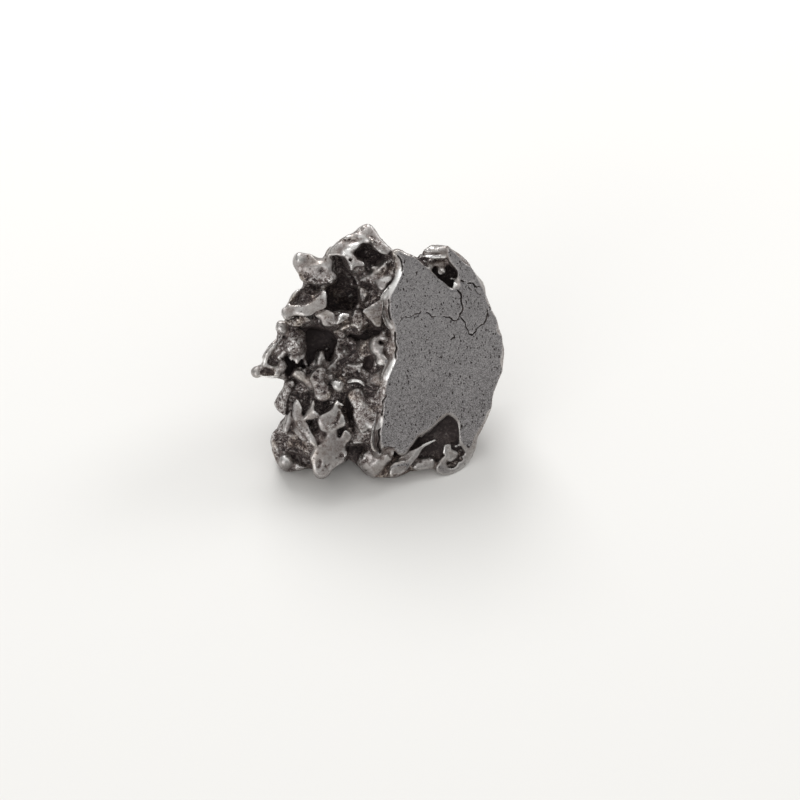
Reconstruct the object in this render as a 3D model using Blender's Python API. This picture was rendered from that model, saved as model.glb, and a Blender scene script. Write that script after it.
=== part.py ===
"""Iron meteorite, 33 mm across: one jagged lump of natural iron with a window sawn flat on its right side.

The lump is one solid. Its forms are written down as a viewer sees them, in millimetres: across to the right
and up in the picture, and near, which grows towards the eye. place() turns such a point into the part's own
axes. Forms are joined by a voxel remesh, hollows are cut out by a Boolean, and two flat cuts finish it: the
sawn window and the small worn spots that it rests on.
"""

import math
import random

import bmesh
import bpy
from mathutils import Euler, Matrix, Vector
from mathutils.bvhtree import BVHTree

MM = 0.001

# The eye that the forms are written down from.
EYE_RISE = math.radians(44)
EYE_DISTANCE = 342.0
EYE_ACROSS, EYE_UP = 3.3, 9.3

# All forms are placed about the point of the table that the seen frame's zero lies on. At the end the
# meteorite is moved by this, so that its own origin is under the middle of its bounding box.
CENTRING = Vector((-0.527, -7.835, 0.0))

# The sawn window: a plane through SAW_POINT, turned to the right and leaning back.
SAW_POINT = (8.5, 14.0, 6.9)
SAW_TURN = math.radians(22)
SAW_LEAN = math.radians(22)
SAW_SLOPE = (-0.395, 0.373)  # what that gives: how near the window is grows by this across and up

# The broken side's ground lies behind this slope: near, and its growth for each millimetre across and up.
BROKEN_SLOPE = (1.9, -0.12, 0.21)

UNION_VOXEL = 0.38
TRIANGLES = 9000
GROUND = 0.0  # height of the table: what reaches below it is worn flat
BLOCK = 80  # side of the cutting blocks, more than twice the meteorite

# The mass behind the window and the broken side: middle and radii along the axes with Z up, and lean.
BULK = {
    "boulder": ((2.2, 9.4, 14.2), (12.6, 6.4, 12.9), -20),
    "crown": ((-2.2, 14.6, 20.4), (5.6, 5.2, 5.5), -20),
    "top": ((1.8, 14.6, 20.9), (5.0, 3.8, 4.4), -20),
    "under_mitten": ((-2.3, 3.2, 2.2), (3.0, 2.2, 2.3), 0),
    "sole": ((6.0, 3.8, 2.5), (5.4, 3.3, 2.4), 0),
    "flank": ((-8.2, 8.8, 13.4), (4.6, 4.5, 6.8), -15),
    "low_left": ((-6.6, 4.8, 6.4), (5.3, 4.4, 5.4), 0),
    "low_corner": ((-10.4, 2.9, 3.9), (2.9, 2.6, 3.1), 0),
    "base": ((1.8, 8.3, 5.8), (9.0, 7.1, 5.6), 0),
    "left_foot": ((-5.2, 10.2, 2.6), (2.8, 2.6, 2.8), 0),
    "back_foot": ((3.2, 12.8, 2.7), (3.0, 2.7, 3.0), 0),
    "right_foot": ((9.6, 6.4, 2.4), (2.4, 2.3, 2.6), 0),
}

# The window's block, outlined clockwise from its upper left corner.
WINDOW = [
    (2.3, 28.8), (3.0, 29.2), (3.8, 29.0), (5.0, 28.25), (5.8, 27.9), (6.0, 28.6), (6.4, 29.35), (7.1, 29.6),
    (8.0, 29.75), (9.0, 29.8), (9.8, 29.6), (10.9, 28.9), (12.0, 28.0), (13.0, 26.8), (13.8, 26.1),
    (14.3, 25.2), (14.5, 24.0), (14.8, 22.6), (15.1, 21.6), (15.7, 20.9), (16.2, 19.6), (16.7, 17.8),
    (17.1, 15.9), (17.2, 14.4), (17.0, 13.3), (16.4, 12.3), (15.9, 10.8), (15.5, 9.6), (15.3, 8.0),
    (14.8, 6.7), (14.0, 5.3), (13.4, 4.2), (13.1, 2.8), (12.6, 1.6), (11.6, 0.9), (8.0, 1.2), (4.5, 1.2),
    (1.5, 1.2), (0.2, 2.4), (-0.1, 4.0), (0.0, 5.4), (0.4, 6.3), (0.7, 7.4), (0.8, 9.0), (0.9, 10.8),
    (1.1, 12.2), (1.7, 13.4), (2.3, 14.3), (2.35, 15.4), (2.3, 17.6), (2.2, 18.6), (1.6, 19.4), (1.2, 20.2),
    (1.1, 21.2), (1.1, 22.2), (1.4, 23.0), (2.1, 23.9), (2.6, 24.9), (2.9, 26.0), (3.0, 27.0), (2.7, 28.0),
]
# The block's rings: size, depth behind the saw and lift. The first stands proud, for the saw to take off.
WINDOW_RINGS = [(1.0, -1.0, 0.0), (1.0, 0.8, 0.2), (0.96, 2.5, 0.6), (0.84, 5.5, 1.4), (0.62, 8.5, 2.2),
                (0.38, 10.5, 2.8), (0.14, 11.8, 3.2)]

# Ledges: plates outlined as seen. front is near at the middle of the outline and its growth across and up,
# thick how far the plate reaches back, dish how far its middle is hollowed, taper its size at the back.
LEDGES = {
    "brow": dict(
        outline=[(-6.5, 28.3), (-6.2, 29.3), (-5.5, 30.1), (-4.4, 30.5), (-3.0, 30.6), (-1.9, 30.5),
                 (-1.6, 30.1), (-2.4, 29.5), (-2.8, 29.0), (-2.8, 28.4), (-2.2, 28.0), (-1.7, 27.6),
                 (-2.9, 27.1), (-3.0, 26.3), (-3.5, 26.7), (-3.9, 27.6), (-4.4, 28.3), (-5.4, 28.2)],
        front=(12.2, 0.05, -0.45), thick=5.5),
    "peak": dict(
        outline=[(-4.3, 30.4), (-3.5, 31.2), (-2.7, 31.6), (-2.2, 32.2), (-1.7, 32.7), (-1.1, 32.85),
                 (-0.5, 32.7), (0.0, 32.2), (0.6, 31.4), (1.2, 30.6), (1.9, 29.9), (2.3, 29.1), (1.9, 28.4),
                 (1.2, 28.6), (0.6, 28.9), (0.1, 29.2), (-0.9, 30.1), (-1.6, 30.4), (-3.0, 30.2)],
        front=(11.6, 0.0, -0.55), thick=5.5),
    "wall": dict(
        outline=[(-2.5, 26.0), (-0.9, 26.2), (0.4, 27.6), (1.3, 28.3), (2.3, 28.4), (3.0, 27.2), (2.8, 25.8),
                 (2.2, 24.6), (1.5, 23.6), (0.6, 22.9), (-0.5, 22.1), (-1.6, 21.8), (-2.3, 22.4),
                 (-2.3, 24.0), (-2.6, 25.0)],
        front=(9.6, 0.7, 0.3), thick=5.0),
    "spoon": dict(
        outline=[(-10.0, 24.2), (-10.6, 23.8), (-11.3, 22.9), (-12.0, 22.2), (-12.5, 21.5), (-12.55, 20.9),
                 (-12.3, 20.4), (-12.0, 20.2), (-11.5, 20.4), (-10.3, 20.6), (-9.2, 20.4), (-8.3, 20.7),
                 (-7.9, 21.0), (-7.2, 21.3), (-6.4, 21.5), (-6.35, 22.6), (-6.4, 23.6), (-7.0, 24.0),
                 (-8.5, 24.3)],
        front=(11.2, 0.05, -0.3), thick=2.6, dish=1.2),
    "petal": dict(
        outline=[(-8.0, 20.3), (-7.6, 20.9), (-6.6, 21.2), (-5.6, 21.0), (-5.0, 20.6), (-4.2, 21.0),
                 (-3.5, 20.9), (-3.35, 20.6), (-3.8, 20.1), (-4.6, 19.5), (-5.1, 19.1), (-5.9, 19.0),
                 (-6.6, 19.15), (-7.2, 19.7), (-7.6, 20.1)],
        front=(11.0, 0.05, 0.2), thick=3.0),
    "shoulder": dict(
        outline=[(0.9, 23.2), (0.2, 22.8), (-0.6, 22.1), (-1.3, 21.7), (-1.7, 21.4), (-1.6, 20.9),
                 (-1.2, 20.3), (-0.9, 19.9), (-0.4, 19.8), (-0.3, 19.3), (0.1, 19.0), (0.6, 19.1),
                 (0.9, 19.5), (1.4, 20.3), (1.4, 22.0)],
        front=(12.0, -0.1, 0.3), thick=4.5),
    "step": dict(
        outline=[(-2.9, 20.6), (-1.6, 21.2), (-0.9, 20.2), (-0.6, 19.6), (-0.8, 19.0), (-1.5, 18.8),
                 (-1.9, 18.35), (-2.2, 18.6), (-2.6, 19.1), (-3.1, 19.3), (-4.6, 18.6), (-4.7, 19.1),
                 (-3.7, 19.8)],
        front=(10.6, 0.1, 0.3), thick=4.0),
    "wing": dict(
        outline=[(-15.0, 14.1), (-14.9, 15.2), (-14.3, 16.2), (-13.6, 17.1), (-13.0, 17.8), (-12.1, 18.0),
                 (-11.6, 17.0), (-11.6, 16.0), (-12.3, 15.3), (-12.9, 14.7), (-13.4, 14.0), (-14.2, 13.8)],
        front=(7.2, 0.1, 0.35), thick=2.4),
    "left_horn": dict(
        outline=[(-16.45, 13.0), (-16.1, 13.7), (-15.4, 14.0), (-14.6, 14.2), (-13.6, 13.8), (-12.2, 13.9),
                 (-11.6, 13.2), (-11.8, 12.2), (-13.0, 12.2), (-15.0, 12.3), (-15.5, 12.1), (-16.1, 12.3)],
        front=(6.7, 0.0, 0.2), thick=2.2),
    "blade": dict(
        outline=[(-10.4, 9.4), (-11.0, 8.4), (-10.9, 7.4), (-10.5, 6.5), (-10.1, 5.6), (-9.2, 4.4),
                 (-8.1, 3.2), (-8.3, 4.4), (-8.8, 5.4), (-9.3, 6.3), (-9.6, 7.1), (-9.55, 8.0), (-9.9, 8.6)],
        front=(6.6, -0.1, 0.4), thick=1.3),
    "leaf": dict(
        outline=[(-11.2, 8.0), (-11.6, 7.3), (-12.1, 6.5), (-12.25, 5.8), (-12.1, 5.1), (-11.7, 4.9),
                 (-11.3, 5.2), (-10.9, 5.9), (-11.0, 6.9)],
        front=(5.4, 0.0, 0.3), thick=1.6),
    "tooth": dict(
        outline=[(-8.2, 9.4), (-8.7, 8.4), (-9.4, 6.7), (-8.6, 6.4), (-7.6, 6.6), (-7.4, 7.3), (-7.6, 7.6),
                 (-8.2, 8.0)],
        front=(7.0, 0.0, 0.35), thick=2.2),
    "mitten_tips": dict(
        outline=[(-5.0, 9.35), (-4.8, 8.8), (-4.1, 8.6), (-4.3, 8.0), (-4.5, 7.4), (-4.1, 7.0), (-3.8, 6.2),
                 (-3.8, 5.9), (-4.3, 5.6), (-5.0, 5.6), (-5.9, 5.5), (-6.4, 5.1), (-7.0, 5.0), (-7.3, 5.4),
                 (-7.45, 6.3), (-7.4, 7.0), (-6.8, 7.4), (-6.1, 7.7), (-5.8, 8.3)],
        front=(7.5, -0.15, 0.3), thick=3.4),
    "mitten_palm": dict(
        outline=[(-5.9, 5.8), (-5.1, 5.7), (-5.0, 5.1), (-4.8, 4.3), (-4.4, 4.6), (-4.2, 5.2), (-3.9, 5.45),
                 (-3.4, 5.0), (-3.0, 4.5), (-2.7, 4.2), (-3.2, 3.8), (-3.7, 3.5), (-3.9, 3.0), (-3.6, 2.0),
                 (-3.8, 1.4), (-4.2, 0.9), (-5.0, 0.2), (-5.6, -0.2), (-6.2, -0.9), (-6.8, -1.2),
                 (-7.4, -1.2), (-8.0, -0.9), (-8.3, -0.2), (-8.5, 0.6), (-8.6, 1.5), (-8.5, 2.3),
                 (-8.0, 2.9), (-7.3, 3.0), (-6.6, 3.6), (-6.3, 4.1), (-6.3, 5.0)],
        front=(6.3, -0.15, 0.3), thick=3.6),
    "corner": dict(
        outline=[(-12.2, 6.9), (-12.7, 6.0), (-13.2, 5.4), (-13.7, 5.0), (-13.95, 4.4), (-13.85, 3.3),
                 (-13.7, 2.4), (-13.2, 1.5), (-12.8, 0.8), (-12.2, 0.1), (-11.4, -0.15), (-10.6, 0.1),
                 (-9.6, 0.1), (-8.6, 0.1), (-8.0, 1.0), (-8.0, 2.8), (-8.5, 4.6), (-9.5, 6.4), (-10.8, 7.4)],
        front=(2.9, 0.0, 0.6), thick=4.0, dish=0.8),
    "cheek": dict(
        outline=[(1.3, 13.5), (0.4, 13.4), (-0.2, 13.0), (-0.7, 12.2), (-1.3, 11.4), (-0.6, 11.1),
                 (0.2, 11.5), (1.2, 12.0)],
        front=(8.5, 0.4, 0.3), thick=3.5),
    "post": dict(
        outline=[(-0.6, 17.6), (0.1, 17.95), (0.7, 17.6), (0.6, 16.7), (1.3, 16.4), (1.3, 15.3), (1.9, 14.2),
                 (1.1, 14.0), (0.4, 14.0), (-0.2, 14.8), (-0.6, 15.8), (-0.8, 16.6)],
        front=(9.7, 0.25, 0.2), thick=4.0),
}

# Lumps: egg shapes, as middle, radii and turn in degrees about the near, across and up directions.
LUMPS = {
    "flap": ((-8.2, 26.6, 9.9), (2.8, 1.9, 2.0), (-6, 0, 0)),
    "flap_root": ((-6.2, 26.3, 10.2), (1.25, 2.0, 2.0), (0, 0, 0)),
    "lobe": ((-12.4, 19.0, 7.8), (0.85, 1.15, 1.3), (20, 0, 0)),
    "nodule": ((-10.45, 17.2, 7.4), (1.4, 1.65, 1.5), (0, 0, 0)),
    "knob": ((-4.95, 11.35, 8.4), (0.75, 0.95, 1.6), (10, 0, 0)),
    "pitted_top": ((-7.6, 12.6, 7.6), (1.25, 1.2, 1.5), (25, 0, 0)),
    "pitted_bottom": ((-7.1, 10.5, 7.6), (1.2, 1.4, 1.8), (0, 0, 0)),
    "small_lump": ((-10.0, 13.0, 6.6), (0.8, 0.6, 1.0), (-35, 0, 0)),
    "foot": ((0.0, 0.65, 1.9), (2.1, 1.55, 2.0), (30, 0, 0)),
}

# Horns: tapering rounded bars through points, each with across, up, near and radius.
HORNS = {
    "flap_tip": [(-9.3, 27.4, 10.4, 1.45), (-10.2, 28.25, 10.8, 0.85)],
    "finger": [(-11.2, 11.2, 5.2, 0.9), (-12.0, 9.8, 5.2, 1.05), (-12.4, 8.75, 5.1, 0.95)],
    "wing_ridge": [(-12.7, 17.9, 7.9, 0.45), (-13.8, 16.4, 7.6, 0.5), (-14.5, 15.1, 7.1, 0.45),
                   (-15.2, 13.7, 6.7, 0.45)],
    "horn_knob": [(-15.7, 13.0, 6.3, 0.8), (-14.9, 13.0, 6.2, 0.6)],
    "pale_lump": [(-2.7, 10.4, 7.2, 0.95), (-2.4, 9.0, 6.9, 1.1), (-1.8, 7.4, 6.2, 1.15),
                  (-1.6, 5.6, 5.2, 1.0)],
    "ankle": [(1.7, 2.5, 4.2, 1.1), (0.4, 1.0, 2.4, 1.5)],
    "mid_rib": [(-5.6, 14.0, 5.6, 0.8), (-3.6, 13.4, 6.2, 1.0), (-1.9, 13.2, 7.0, 0.9), (-0.9, 13.6, 7.4, 0.6)],
    "low_rib": [(-5.2, 12.9, 5.0, 0.6), (-3.9, 11.6, 6.2, 0.6), (-2.6, 12.0, 6.4, 0.5), (-1.6, 11.3, 6.6, 0.5)],
    "mid_knob": [(-5.0, 17.2, 5.8, 0.9), (-4.4, 16.2, 5.6, 0.8), (-4.6, 15.2, 5.2, 0.6)],
    "stalk": [(-7.6, 13.6, 5.2, 0.7), (-7.3, 15.2, 5.8, 0.55), (-7.5, 16.2, 5.4, 0.35)],
}

# Hollows, cut out of all of the above: the same kinds of form.
HOLLOW_LUMPS = {
    "gully_top": ((-4.5, 26.6, 9.6), (1.05, 1.7, 3.6), (12, 0, 0)),
    "gully": ((-4.3, 23.5, 9.0), (1.75, 2.5, 4.4), (0, 0, 0)),
    "peak_hole": ((-0.9, 28.9, 10.5), (1.6, 0.75, 2.2), (-22, 0, 0)),
    "dark_pocket": ((-1.9, 26.7, 8.8), (1.0, 0.5, 2.2), (0, 0, 0)),
    "cave": ((-7.2, 17.0, 6.0), (1.9, 1.9, 5.5), (0, 0, 0)),
    "cave_right": ((-3.4, 17.8, 7.0), (2.7, 0.75, 4.0), (0, 0, 0)),
    "cave_end": ((0.0, 18.35, 9.0), (1.5, 0.55, 3.0), (0, 0, 0)),
    "left_cave": ((-10.9, 13.9, 5.8), (1.5, 1.2, 2.6), (0, 0, 0)),
    "middle": ((-3.2, 15.6, 8.6), (2.0, 1.5, 3.0), (0, 0, 0)),
    "gap_left": ((-9.3, 9.4, 5.0), (1.0, 0.8, 3.2), (0, 0, 0)),
    "gap_right": ((-6.8, 8.6, 6.0), (1.2, 0.55, 3.2), (0, 0, 0)),
    "gap_low": ((-2.7, 2.4, 5.0), (1.0, 0.9, 3.6), (0, 0, 0)),
    "gap_long": ((-3.6, 7.2, 5.5), (0.45, 2.2, 2.6), (12, 0, 0)),
    "under": ((-3.2, -0.4, 2.0), (1.4, 1.6, 6.0), (0, 0, 0)),
    "rim_hollow": ((-0.3, 9.3, 8.6), (0.95, 2.8, 2.2), (4, 0, 0)),
    "under_spoon": ((-10.3, 19.6, 9.0), (1.8, 0.6, 2.5), (0, 0, 0)),
    "saddle": ((4.6, 30.9, 9.0), (1.9, 2.4, 9.0), (0, 0, 0)),
    "corner_pit": ((-10.1, 1.9, 3.0), (0.9, 0.7, 1.8), (0, 0, 0)),
}
HOLLOW_LEDGES = {
    "lower_notch": dict(
        outline=[(9.66, 7.2), (8.4, 6.2), (7.2, 5.2), (5.5, 4.25), (4.4, 2.9), (3.2, 2.1), (2.6, 1.6),
                 (2.6, -1.6), (13.0, -1.6), (12.5, 1.2), (12.1, 2.3), (11.4, 3.5), (11.25, 4.5),
                 (11.2, 5.7), (10.9, 6.3)],
        front=(6.6, *SAW_SLOPE), thick=5.8, taper=0.85),
    "upper_notch": dict(
        outline=[(5.6, 28.1), (6.5, 27.35), (7.2, 26.75), (8.2, 25.75), (9.2, 24.95), (10.4, 24.1),
                 (10.95, 24.6), (11.0, 25.5), (10.5, 26.7), (9.8, 28.0), (9.5, 29.2), (9.4, 30.6),
                 (5.2, 30.6)],
        front=(12.8, *SAW_SLOPE), thick=4.4, taper=0.8),
}

# What stands inside the two notches that break the window's edge.
NOTCH_LEDGES = {
    "sill": dict(
        outline=[(0.2, -0.9), (2.2, -1.0), (3.2, -0.75), (4.6, -0.3), (6.0, 0.1), (7.4, 0.15), (8.0, 0.5),
                 (8.1, 1.4), (7.6, 2.0), (6.4, 2.1), (5.4, 2.3), (4.4, 1.6), (3.2, 1.0), (1.6, 0.6)],
        front=(2.3, -0.3, 0.3), thick=3.5),
}
NOTCH_LUMPS = {
    "cluster_a": ((9.7, 3.2, 0.6), (0.8, 0.8, 1.2), (0, 0, 0)),
    "cluster_b": ((10.8, 2.9, 0.1), (0.9, 1.0, 1.2), (0, 0, 0)),
    "cluster_c": ((10.4, 0.7, 0.2), (1.9, 1.35, 1.2), (0, 0, 0)),
    "cluster_d": ((8.9, 0.7, 0.2), (1.2, 1.0, 1.5), (0, 0, 0)),
    "cluster_e": ((11.5, 1.6, -0.4), (1.0, 1.0, 1.4), (0, 0, 0)),
    "upper_a": ((8.8, 26.6, 8.4), (0.9, 0.75, 1.2), (0, 0, 0)),
    "upper_b": ((7.4, 27.4, 9.2), (0.55, 0.45, 1.0), (0, 0, 0)),
}
NOTCH_HORNS = {
    "lower_ridge": [(2.6, 0.1, 2.9, 0.6), (4.3, 1.5, 3.0, 0.45), (5.8, 2.6, 2.6, 0.4), (8.0, 3.9, 0.8, 0.4)],
    "rim_lobe": [(6.8, 28.85, 11.3, 0.8), (8.7, 28.75, 10.6, 0.95)],
    "rim_stripe": [(6.5, 28.2, 10.6, 0.45), (8.6, 27.9, 9.8, 0.5)],
}

# The hidden sides carry the same kind of flaky relief, scattered by rule from one seed.
RELIEF_SEED = 7
RELIEF_MIDDLE = (1.0, 8.5, 12.5)
RELIEF_FLAKES = 300
RELIEF_PITS = 150
FLAKE = (2.3, 1.4, 1.05)
PIT = (1.6, 1.1, 1.3)
HIDDEN = -0.3  # the skin there faces away from the eye by at least this
BEHIND_SAW = 0.25  # and towards the saw by at most this
RIM_FROM, RIM_CLEAR = 3.0, 1.2  # right of the first, it lies this far inside the window's outline


def place(across, up, near):
    """A point as seen, in millimetres, turned into axes with Z up. Lines of sight spread from the eye."""
    spread = (EYE_DISTANCE - near) / EYE_DISTANCE
    x = EYE_ACROSS + (across - EYE_ACROSS) * spread
    rise = EYE_UP + (up - EYE_UP) * spread
    y = rise * math.sin(EYE_RISE) - near * math.cos(EYE_RISE)
    z = rise * math.cos(EYE_RISE) + near * math.sin(EYE_RISE)
    return Vector((x, y, z))


def seen(point):
    """Where the eye sees a point given along the axes with Z up: across and up. The inverse of place()."""
    near = point.z * math.sin(EYE_RISE) - point.y * math.cos(EYE_RISE)
    spread = (EYE_DISTANCE - near) / EYE_DISTANCE
    rise = point.y * math.sin(EYE_RISE) + point.z * math.cos(EYE_RISE)
    return EYE_ACROSS + (point.x - EYE_ACROSS) / spread, EYE_UP + (rise - EYE_UP) / spread


def well_inside(outline, across, up, margin):
    """Whether a seen place is inside an outline, at least a margin away from every edge."""
    spot = Vector((across, up))
    corners = [Vector(corner) for corner in outline]
    inside = False
    for a, b in zip(corners, corners[1:] + corners[:1]):
        share = min(max((spot - a).dot(b - a) / (b - a).length_squared, 0.0), 1.0)
        if (spot - a - (b - a) * share).length < margin:
            return False
        if (a.y <= up) != (b.y <= up) and across < a.x + (b.x - a.x) * (up - a.y) / (b.y - a.y):
            inside = not inside
    return inside


def as_is(x, y, z):
    """A point that is already given along the axes with Z up."""
    return Vector((x, y, z))


def saw_normal():
    return Vector((
        math.sin(SAW_TURN) * math.cos(SAW_LEAN),
        -math.cos(SAW_TURN) * math.cos(SAW_LEAN),
        math.sin(SAW_LEAN),
    ))


def middle_of(outline):
    return (sum(p[0] for p in outline) / len(outline), sum(p[1] for p in outline) / len(outline))


def new_object(name, bm):
    """A mesh object in metres from a bmesh in millimetres."""
    bmesh.ops.recalc_face_normals(bm, faces=bm.faces)
    if bm.calc_volume(signed=True) < 0:
        bmesh.ops.reverse_faces(bm, faces=bm.faces)
    bmesh.ops.scale(bm, vec=(MM, MM, MM), verts=bm.verts)
    mesh = bpy.data.meshes.new(name)
    bm.to_mesh(mesh)
    bm.free()
    obj = bpy.data.objects.new(name, mesh)
    bpy.context.scene.collection.objects.link(obj)
    return obj


def loft(bm, rings):
    """Skins rings of points, first to last, and closes both ends."""
    loops = [[bm.verts.new(point) for point in ring] for ring in rings]
    count = len(loops[0])
    for low, high in zip(loops, loops[1:]):
        for i in range(count):
            j = (i + 1) % count
            bm.faces.new((low[i], low[j], high[j], high[i]))
    bm.faces.new(loops[0])
    bm.faces.new(loops[-1])


def add_rings(bm, outline, front, rings):
    """A block: rings of its outline, each with a size, a depth behind the front's slope and a lift."""
    mid = middle_of(outline)
    placed = []
    for size, depth, lift in rings:
        ring = []
        for across, up in outline:
            right, above = (across - mid[0]) * size, (up - mid[1]) * size
            near = front[0] + front[1] * right + front[2] * above - depth
            ring.append(place(mid[0] + right, mid[1] + above + lift, near))
        placed.append(ring)
    loft(bm, placed)


def add_ledge(bm, outline, front, thick, dish=0.0, taper=0.8):
    """A plate: its rings run from the hollowed middle over the rim to the back."""
    rings = [(1.0, 0.0, 0.0), (1.0, 0.4 * thick, 0.0), (taper, thick, 0.0)]
    if dish:
        rings = [(0.55, dish, 0.0), (0.82, 0.35 * dish, 0.0)] + rings
    add_rings(bm, outline, front, rings)


def add_ball(bm, to_part, at, radii, turn, detail=3):
    """An egg shape, written down in the frame that to_part reads."""
    spin = Matrix.Rotation(math.radians(turn[0]), 3, "Z") @ Euler(
        (math.radians(turn[1]), math.radians(turn[2]), 0.0)).to_matrix()
    made = bmesh.ops.create_icosphere(bm, subdivisions=detail, radius=1.0)["verts"]
    for vert in made:
        stretched = Vector((vert.co.x * radii[0], vert.co.y * radii[1], vert.co.z * radii[2]))
        vert.co = to_part(*(spin @ stretched + Vector(at)))
    return made


def add_horn(bm, points):
    """A chain of rounded bars: each is the hull of the balls at its two ends."""
    for start, end in zip(points, points[1:]):
        bar = bmesh.new()
        for across, up, near, radius in (start, end):
            add_ball(bar, place, (across, up, near), (radius,) * 3, (0, 0, 0), detail=2)
        bmesh.ops.delete(bar, geom=list(bar.edges), context="EDGES_FACES")
        hull = bmesh.ops.convex_hull(bar, input=bar.verts)
        inside = [v for v in hull["geom_interior"] + hull["geom_unused"] if isinstance(v, bmesh.types.BMVert)]
        bmesh.ops.delete(bar, geom=list(set(inside)), context="VERTS")
        mesh = bpy.data.meshes.new("bar")
        bar.to_mesh(mesh)
        bar.free()
        bm.from_mesh(mesh)
        bpy.data.meshes.remove(mesh)


def add_window_block(bm):
    """The mass behind the window, which the saw's slope runs through."""
    mid = middle_of(WINDOW)
    near = SAW_POINT[2] + sum(SAW_SLOPE[k] * (mid[k] - SAW_POINT[k]) for k in range(2))
    add_rings(bm, WINDOW, (near, *SAW_SLOPE), WINDOW_RINGS)


def add_relief(bm, ground, flakes):
    """Flakes, or pits, on the ground's hidden sides: where rays that fan out on a spiral come through its skin."""
    chance = random.Random(RELIEF_SEED + flakes)
    count = RELIEF_FLAKES if flakes else RELIEF_PITS
    middle = Vector(RELIEF_MIDDLE) * MM
    to_eye = Vector((0, -math.cos(EYE_RISE), math.sin(EYE_RISE)))
    for i in range(count):
        height = 1 - 2 * (i + 0.5) / count
        angle = i * math.pi * (3 - math.sqrt(5)) + chance.uniform(-0.3, 0.3)
        flat = math.sqrt(1 - height * height)
        ray = Vector((flat * math.cos(angle), flat * math.sin(angle), height))
        size = chance.uniform(0.7, 1.3)
        tilt = [chance.uniform(-35, 35) for _ in range(2)]
        turn = chance.uniform(0, 360)
        sink = chance.uniform(0.0, 1.0)
        at, out = ground.ray_cast(middle + ray, -ray)[:2]
        if out.dot(to_eye) > HIDDEN or out.dot(saw_normal()) > BEHIND_SAW:
            continue
        across, up = seen(at / MM)
        if across > RIM_FROM and not well_inside(WINDOW, across, up, RIM_CLEAR):
            continue
        spin = out.to_track_quat("Z", "Y").to_matrix() @ Euler(
            [math.radians(a) for a in (*tilt, turn)]).to_matrix()
        radii = FLAKE if flakes else PIT
        depth = 0.1 + 0.8 * sink if flakes else 0.3 - 0.9 * sink
        for vert in bmesh.ops.create_icosphere(bm, subdivisions=2, radius=1.0)["verts"]:
            stretched = Vector([vert.co[k] * radii[k] * size for k in range(3)])
            vert.co = spin @ stretched + at / MM - out * depth


def evaluate(obj):
    """Replaces obj's mesh by what its modifiers make of it, and clears them."""
    graph = bpy.context.evaluated_depsgraph_get()
    made = bpy.data.meshes.new_from_object(obj.evaluated_get(graph), depsgraph=graph)
    obj.modifiers.clear()
    obj.data = made


def merge_forms(obj, voxel):
    """Joins the overlapping forms of obj into one skin."""
    remesh = obj.modifiers.new("join", "REMESH")
    remesh.mode = "VOXEL"
    remesh.voxel_size = voxel * MM
    evaluate(obj)


def keep_outer_skin(obj):
    """Deletes every island of the mesh but the largest, such as the wall of a void between forms."""
    bm = bmesh.new()
    bm.from_mesh(obj.data)
    left = set(bm.verts)
    islands = []
    while left:
        island, edge = set(), [left.pop()]
        while edge:
            vert = edge.pop()
            island.add(vert)
            near = [e.other_vert(vert) for e in vert.link_edges]
            fresh = [v for v in near if v in left]
            left.difference_update(fresh)
            edge += fresh
        islands.append(island)
    islands.sort(key=len)
    for island in islands[:-1]:
        bmesh.ops.delete(bm, geom=list(island), context="VERTS")
    bm.to_mesh(obj.data)
    bm.free()


def cut(obj, cutter):
    boolean = obj.modifiers.new("cut", "BOOLEAN")
    boolean.operation = "DIFFERENCE"
    boolean.solver = "EXACT"
    boolean.object = cutter
    evaluate(obj)
    bpy.data.objects.remove(cutter)


def block_on_plane(name, point, normal, size):
    """A square block standing on a plane, on the side that the normal points to."""
    bm = bmesh.new()
    bmesh.ops.create_cube(bm, size=size)
    turn = normal.to_track_quat("Z", "Y").to_matrix()
    for vert in bm.verts:
        vert.co = turn @ (vert.co + Vector((0, 0, size / 2))) + point
    return new_object(name, bm)


def trimmed_bulk():
    """The mass without what would stand in front of the broken side, and the window's block."""
    bm = bmesh.new()
    for at, radii, lean in BULK.values():
        add_ball(bm, as_is, Vector(at), radii, (0, lean, 0), detail=4)
    bulk = new_object("bulk", bm)
    merge_forms(bulk, UNION_VOXEL)
    near, by_across, by_up = BROKEN_SLOPE
    a, b, c = (place(x, y, near + by_across * x + by_up * y) for x, y in ((-10, 0), (5, 0), (-5, 25)))
    cut(bulk, block_on_plane("front_trim", a, (b - a).cross(c - a).normalized(), BLOCK))
    bm = bmesh.new()
    bm.from_mesh(bulk.data)
    bmesh.ops.scale(bm, vec=(1 / MM,) * 3, verts=bm.verts)
    bpy.data.objects.remove(bulk)
    add_window_block(bm)
    bulk = new_object("bulk", bm)
    merge_forms(bulk, UNION_VOXEL)
    return bulk


def add_forms(bm, ledges, lumps, horns):
    for ledge in ledges.values():
        add_ledge(bm, **ledge)
    for at, radii, turn in lumps.values():
        add_ball(bm, place, at, radii, turn)
    for points in horns.values():
        add_horn(bm, points)


def iron_forms(bulk, ground):
    """Every form that adds iron before the hollows, as one mesh of overlapping closed pieces."""
    bm = bmesh.new()
    bm.from_mesh(bulk.data)
    bmesh.ops.scale(bm, vec=(1 / MM,) * 3, verts=bm.verts)
    add_forms(bm, LEDGES, LUMPS, HORNS)
    add_relief(bm, ground, flakes=True)
    return new_object("meteorite", bm)


def hollow_forms(ground):
    bm = bmesh.new()
    add_forms(bm, HOLLOW_LEDGES, HOLLOW_LUMPS, {})
    add_relief(bm, ground, flakes=False)
    return new_object("hollows", bm)


def with_notch_forms(obj):
    """obj's mesh and what stands in the notches, as overlapping closed pieces."""
    bm = bmesh.new()
    bm.from_mesh(obj.data)
    bmesh.ops.scale(bm, vec=(1 / MM,) * 3, verts=bm.verts)
    add_forms(bm, NOTCH_LEDGES, NOTCH_LUMPS, NOTCH_HORNS)
    bpy.data.objects.remove(obj)
    return new_object("meteorite", bm)


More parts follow.
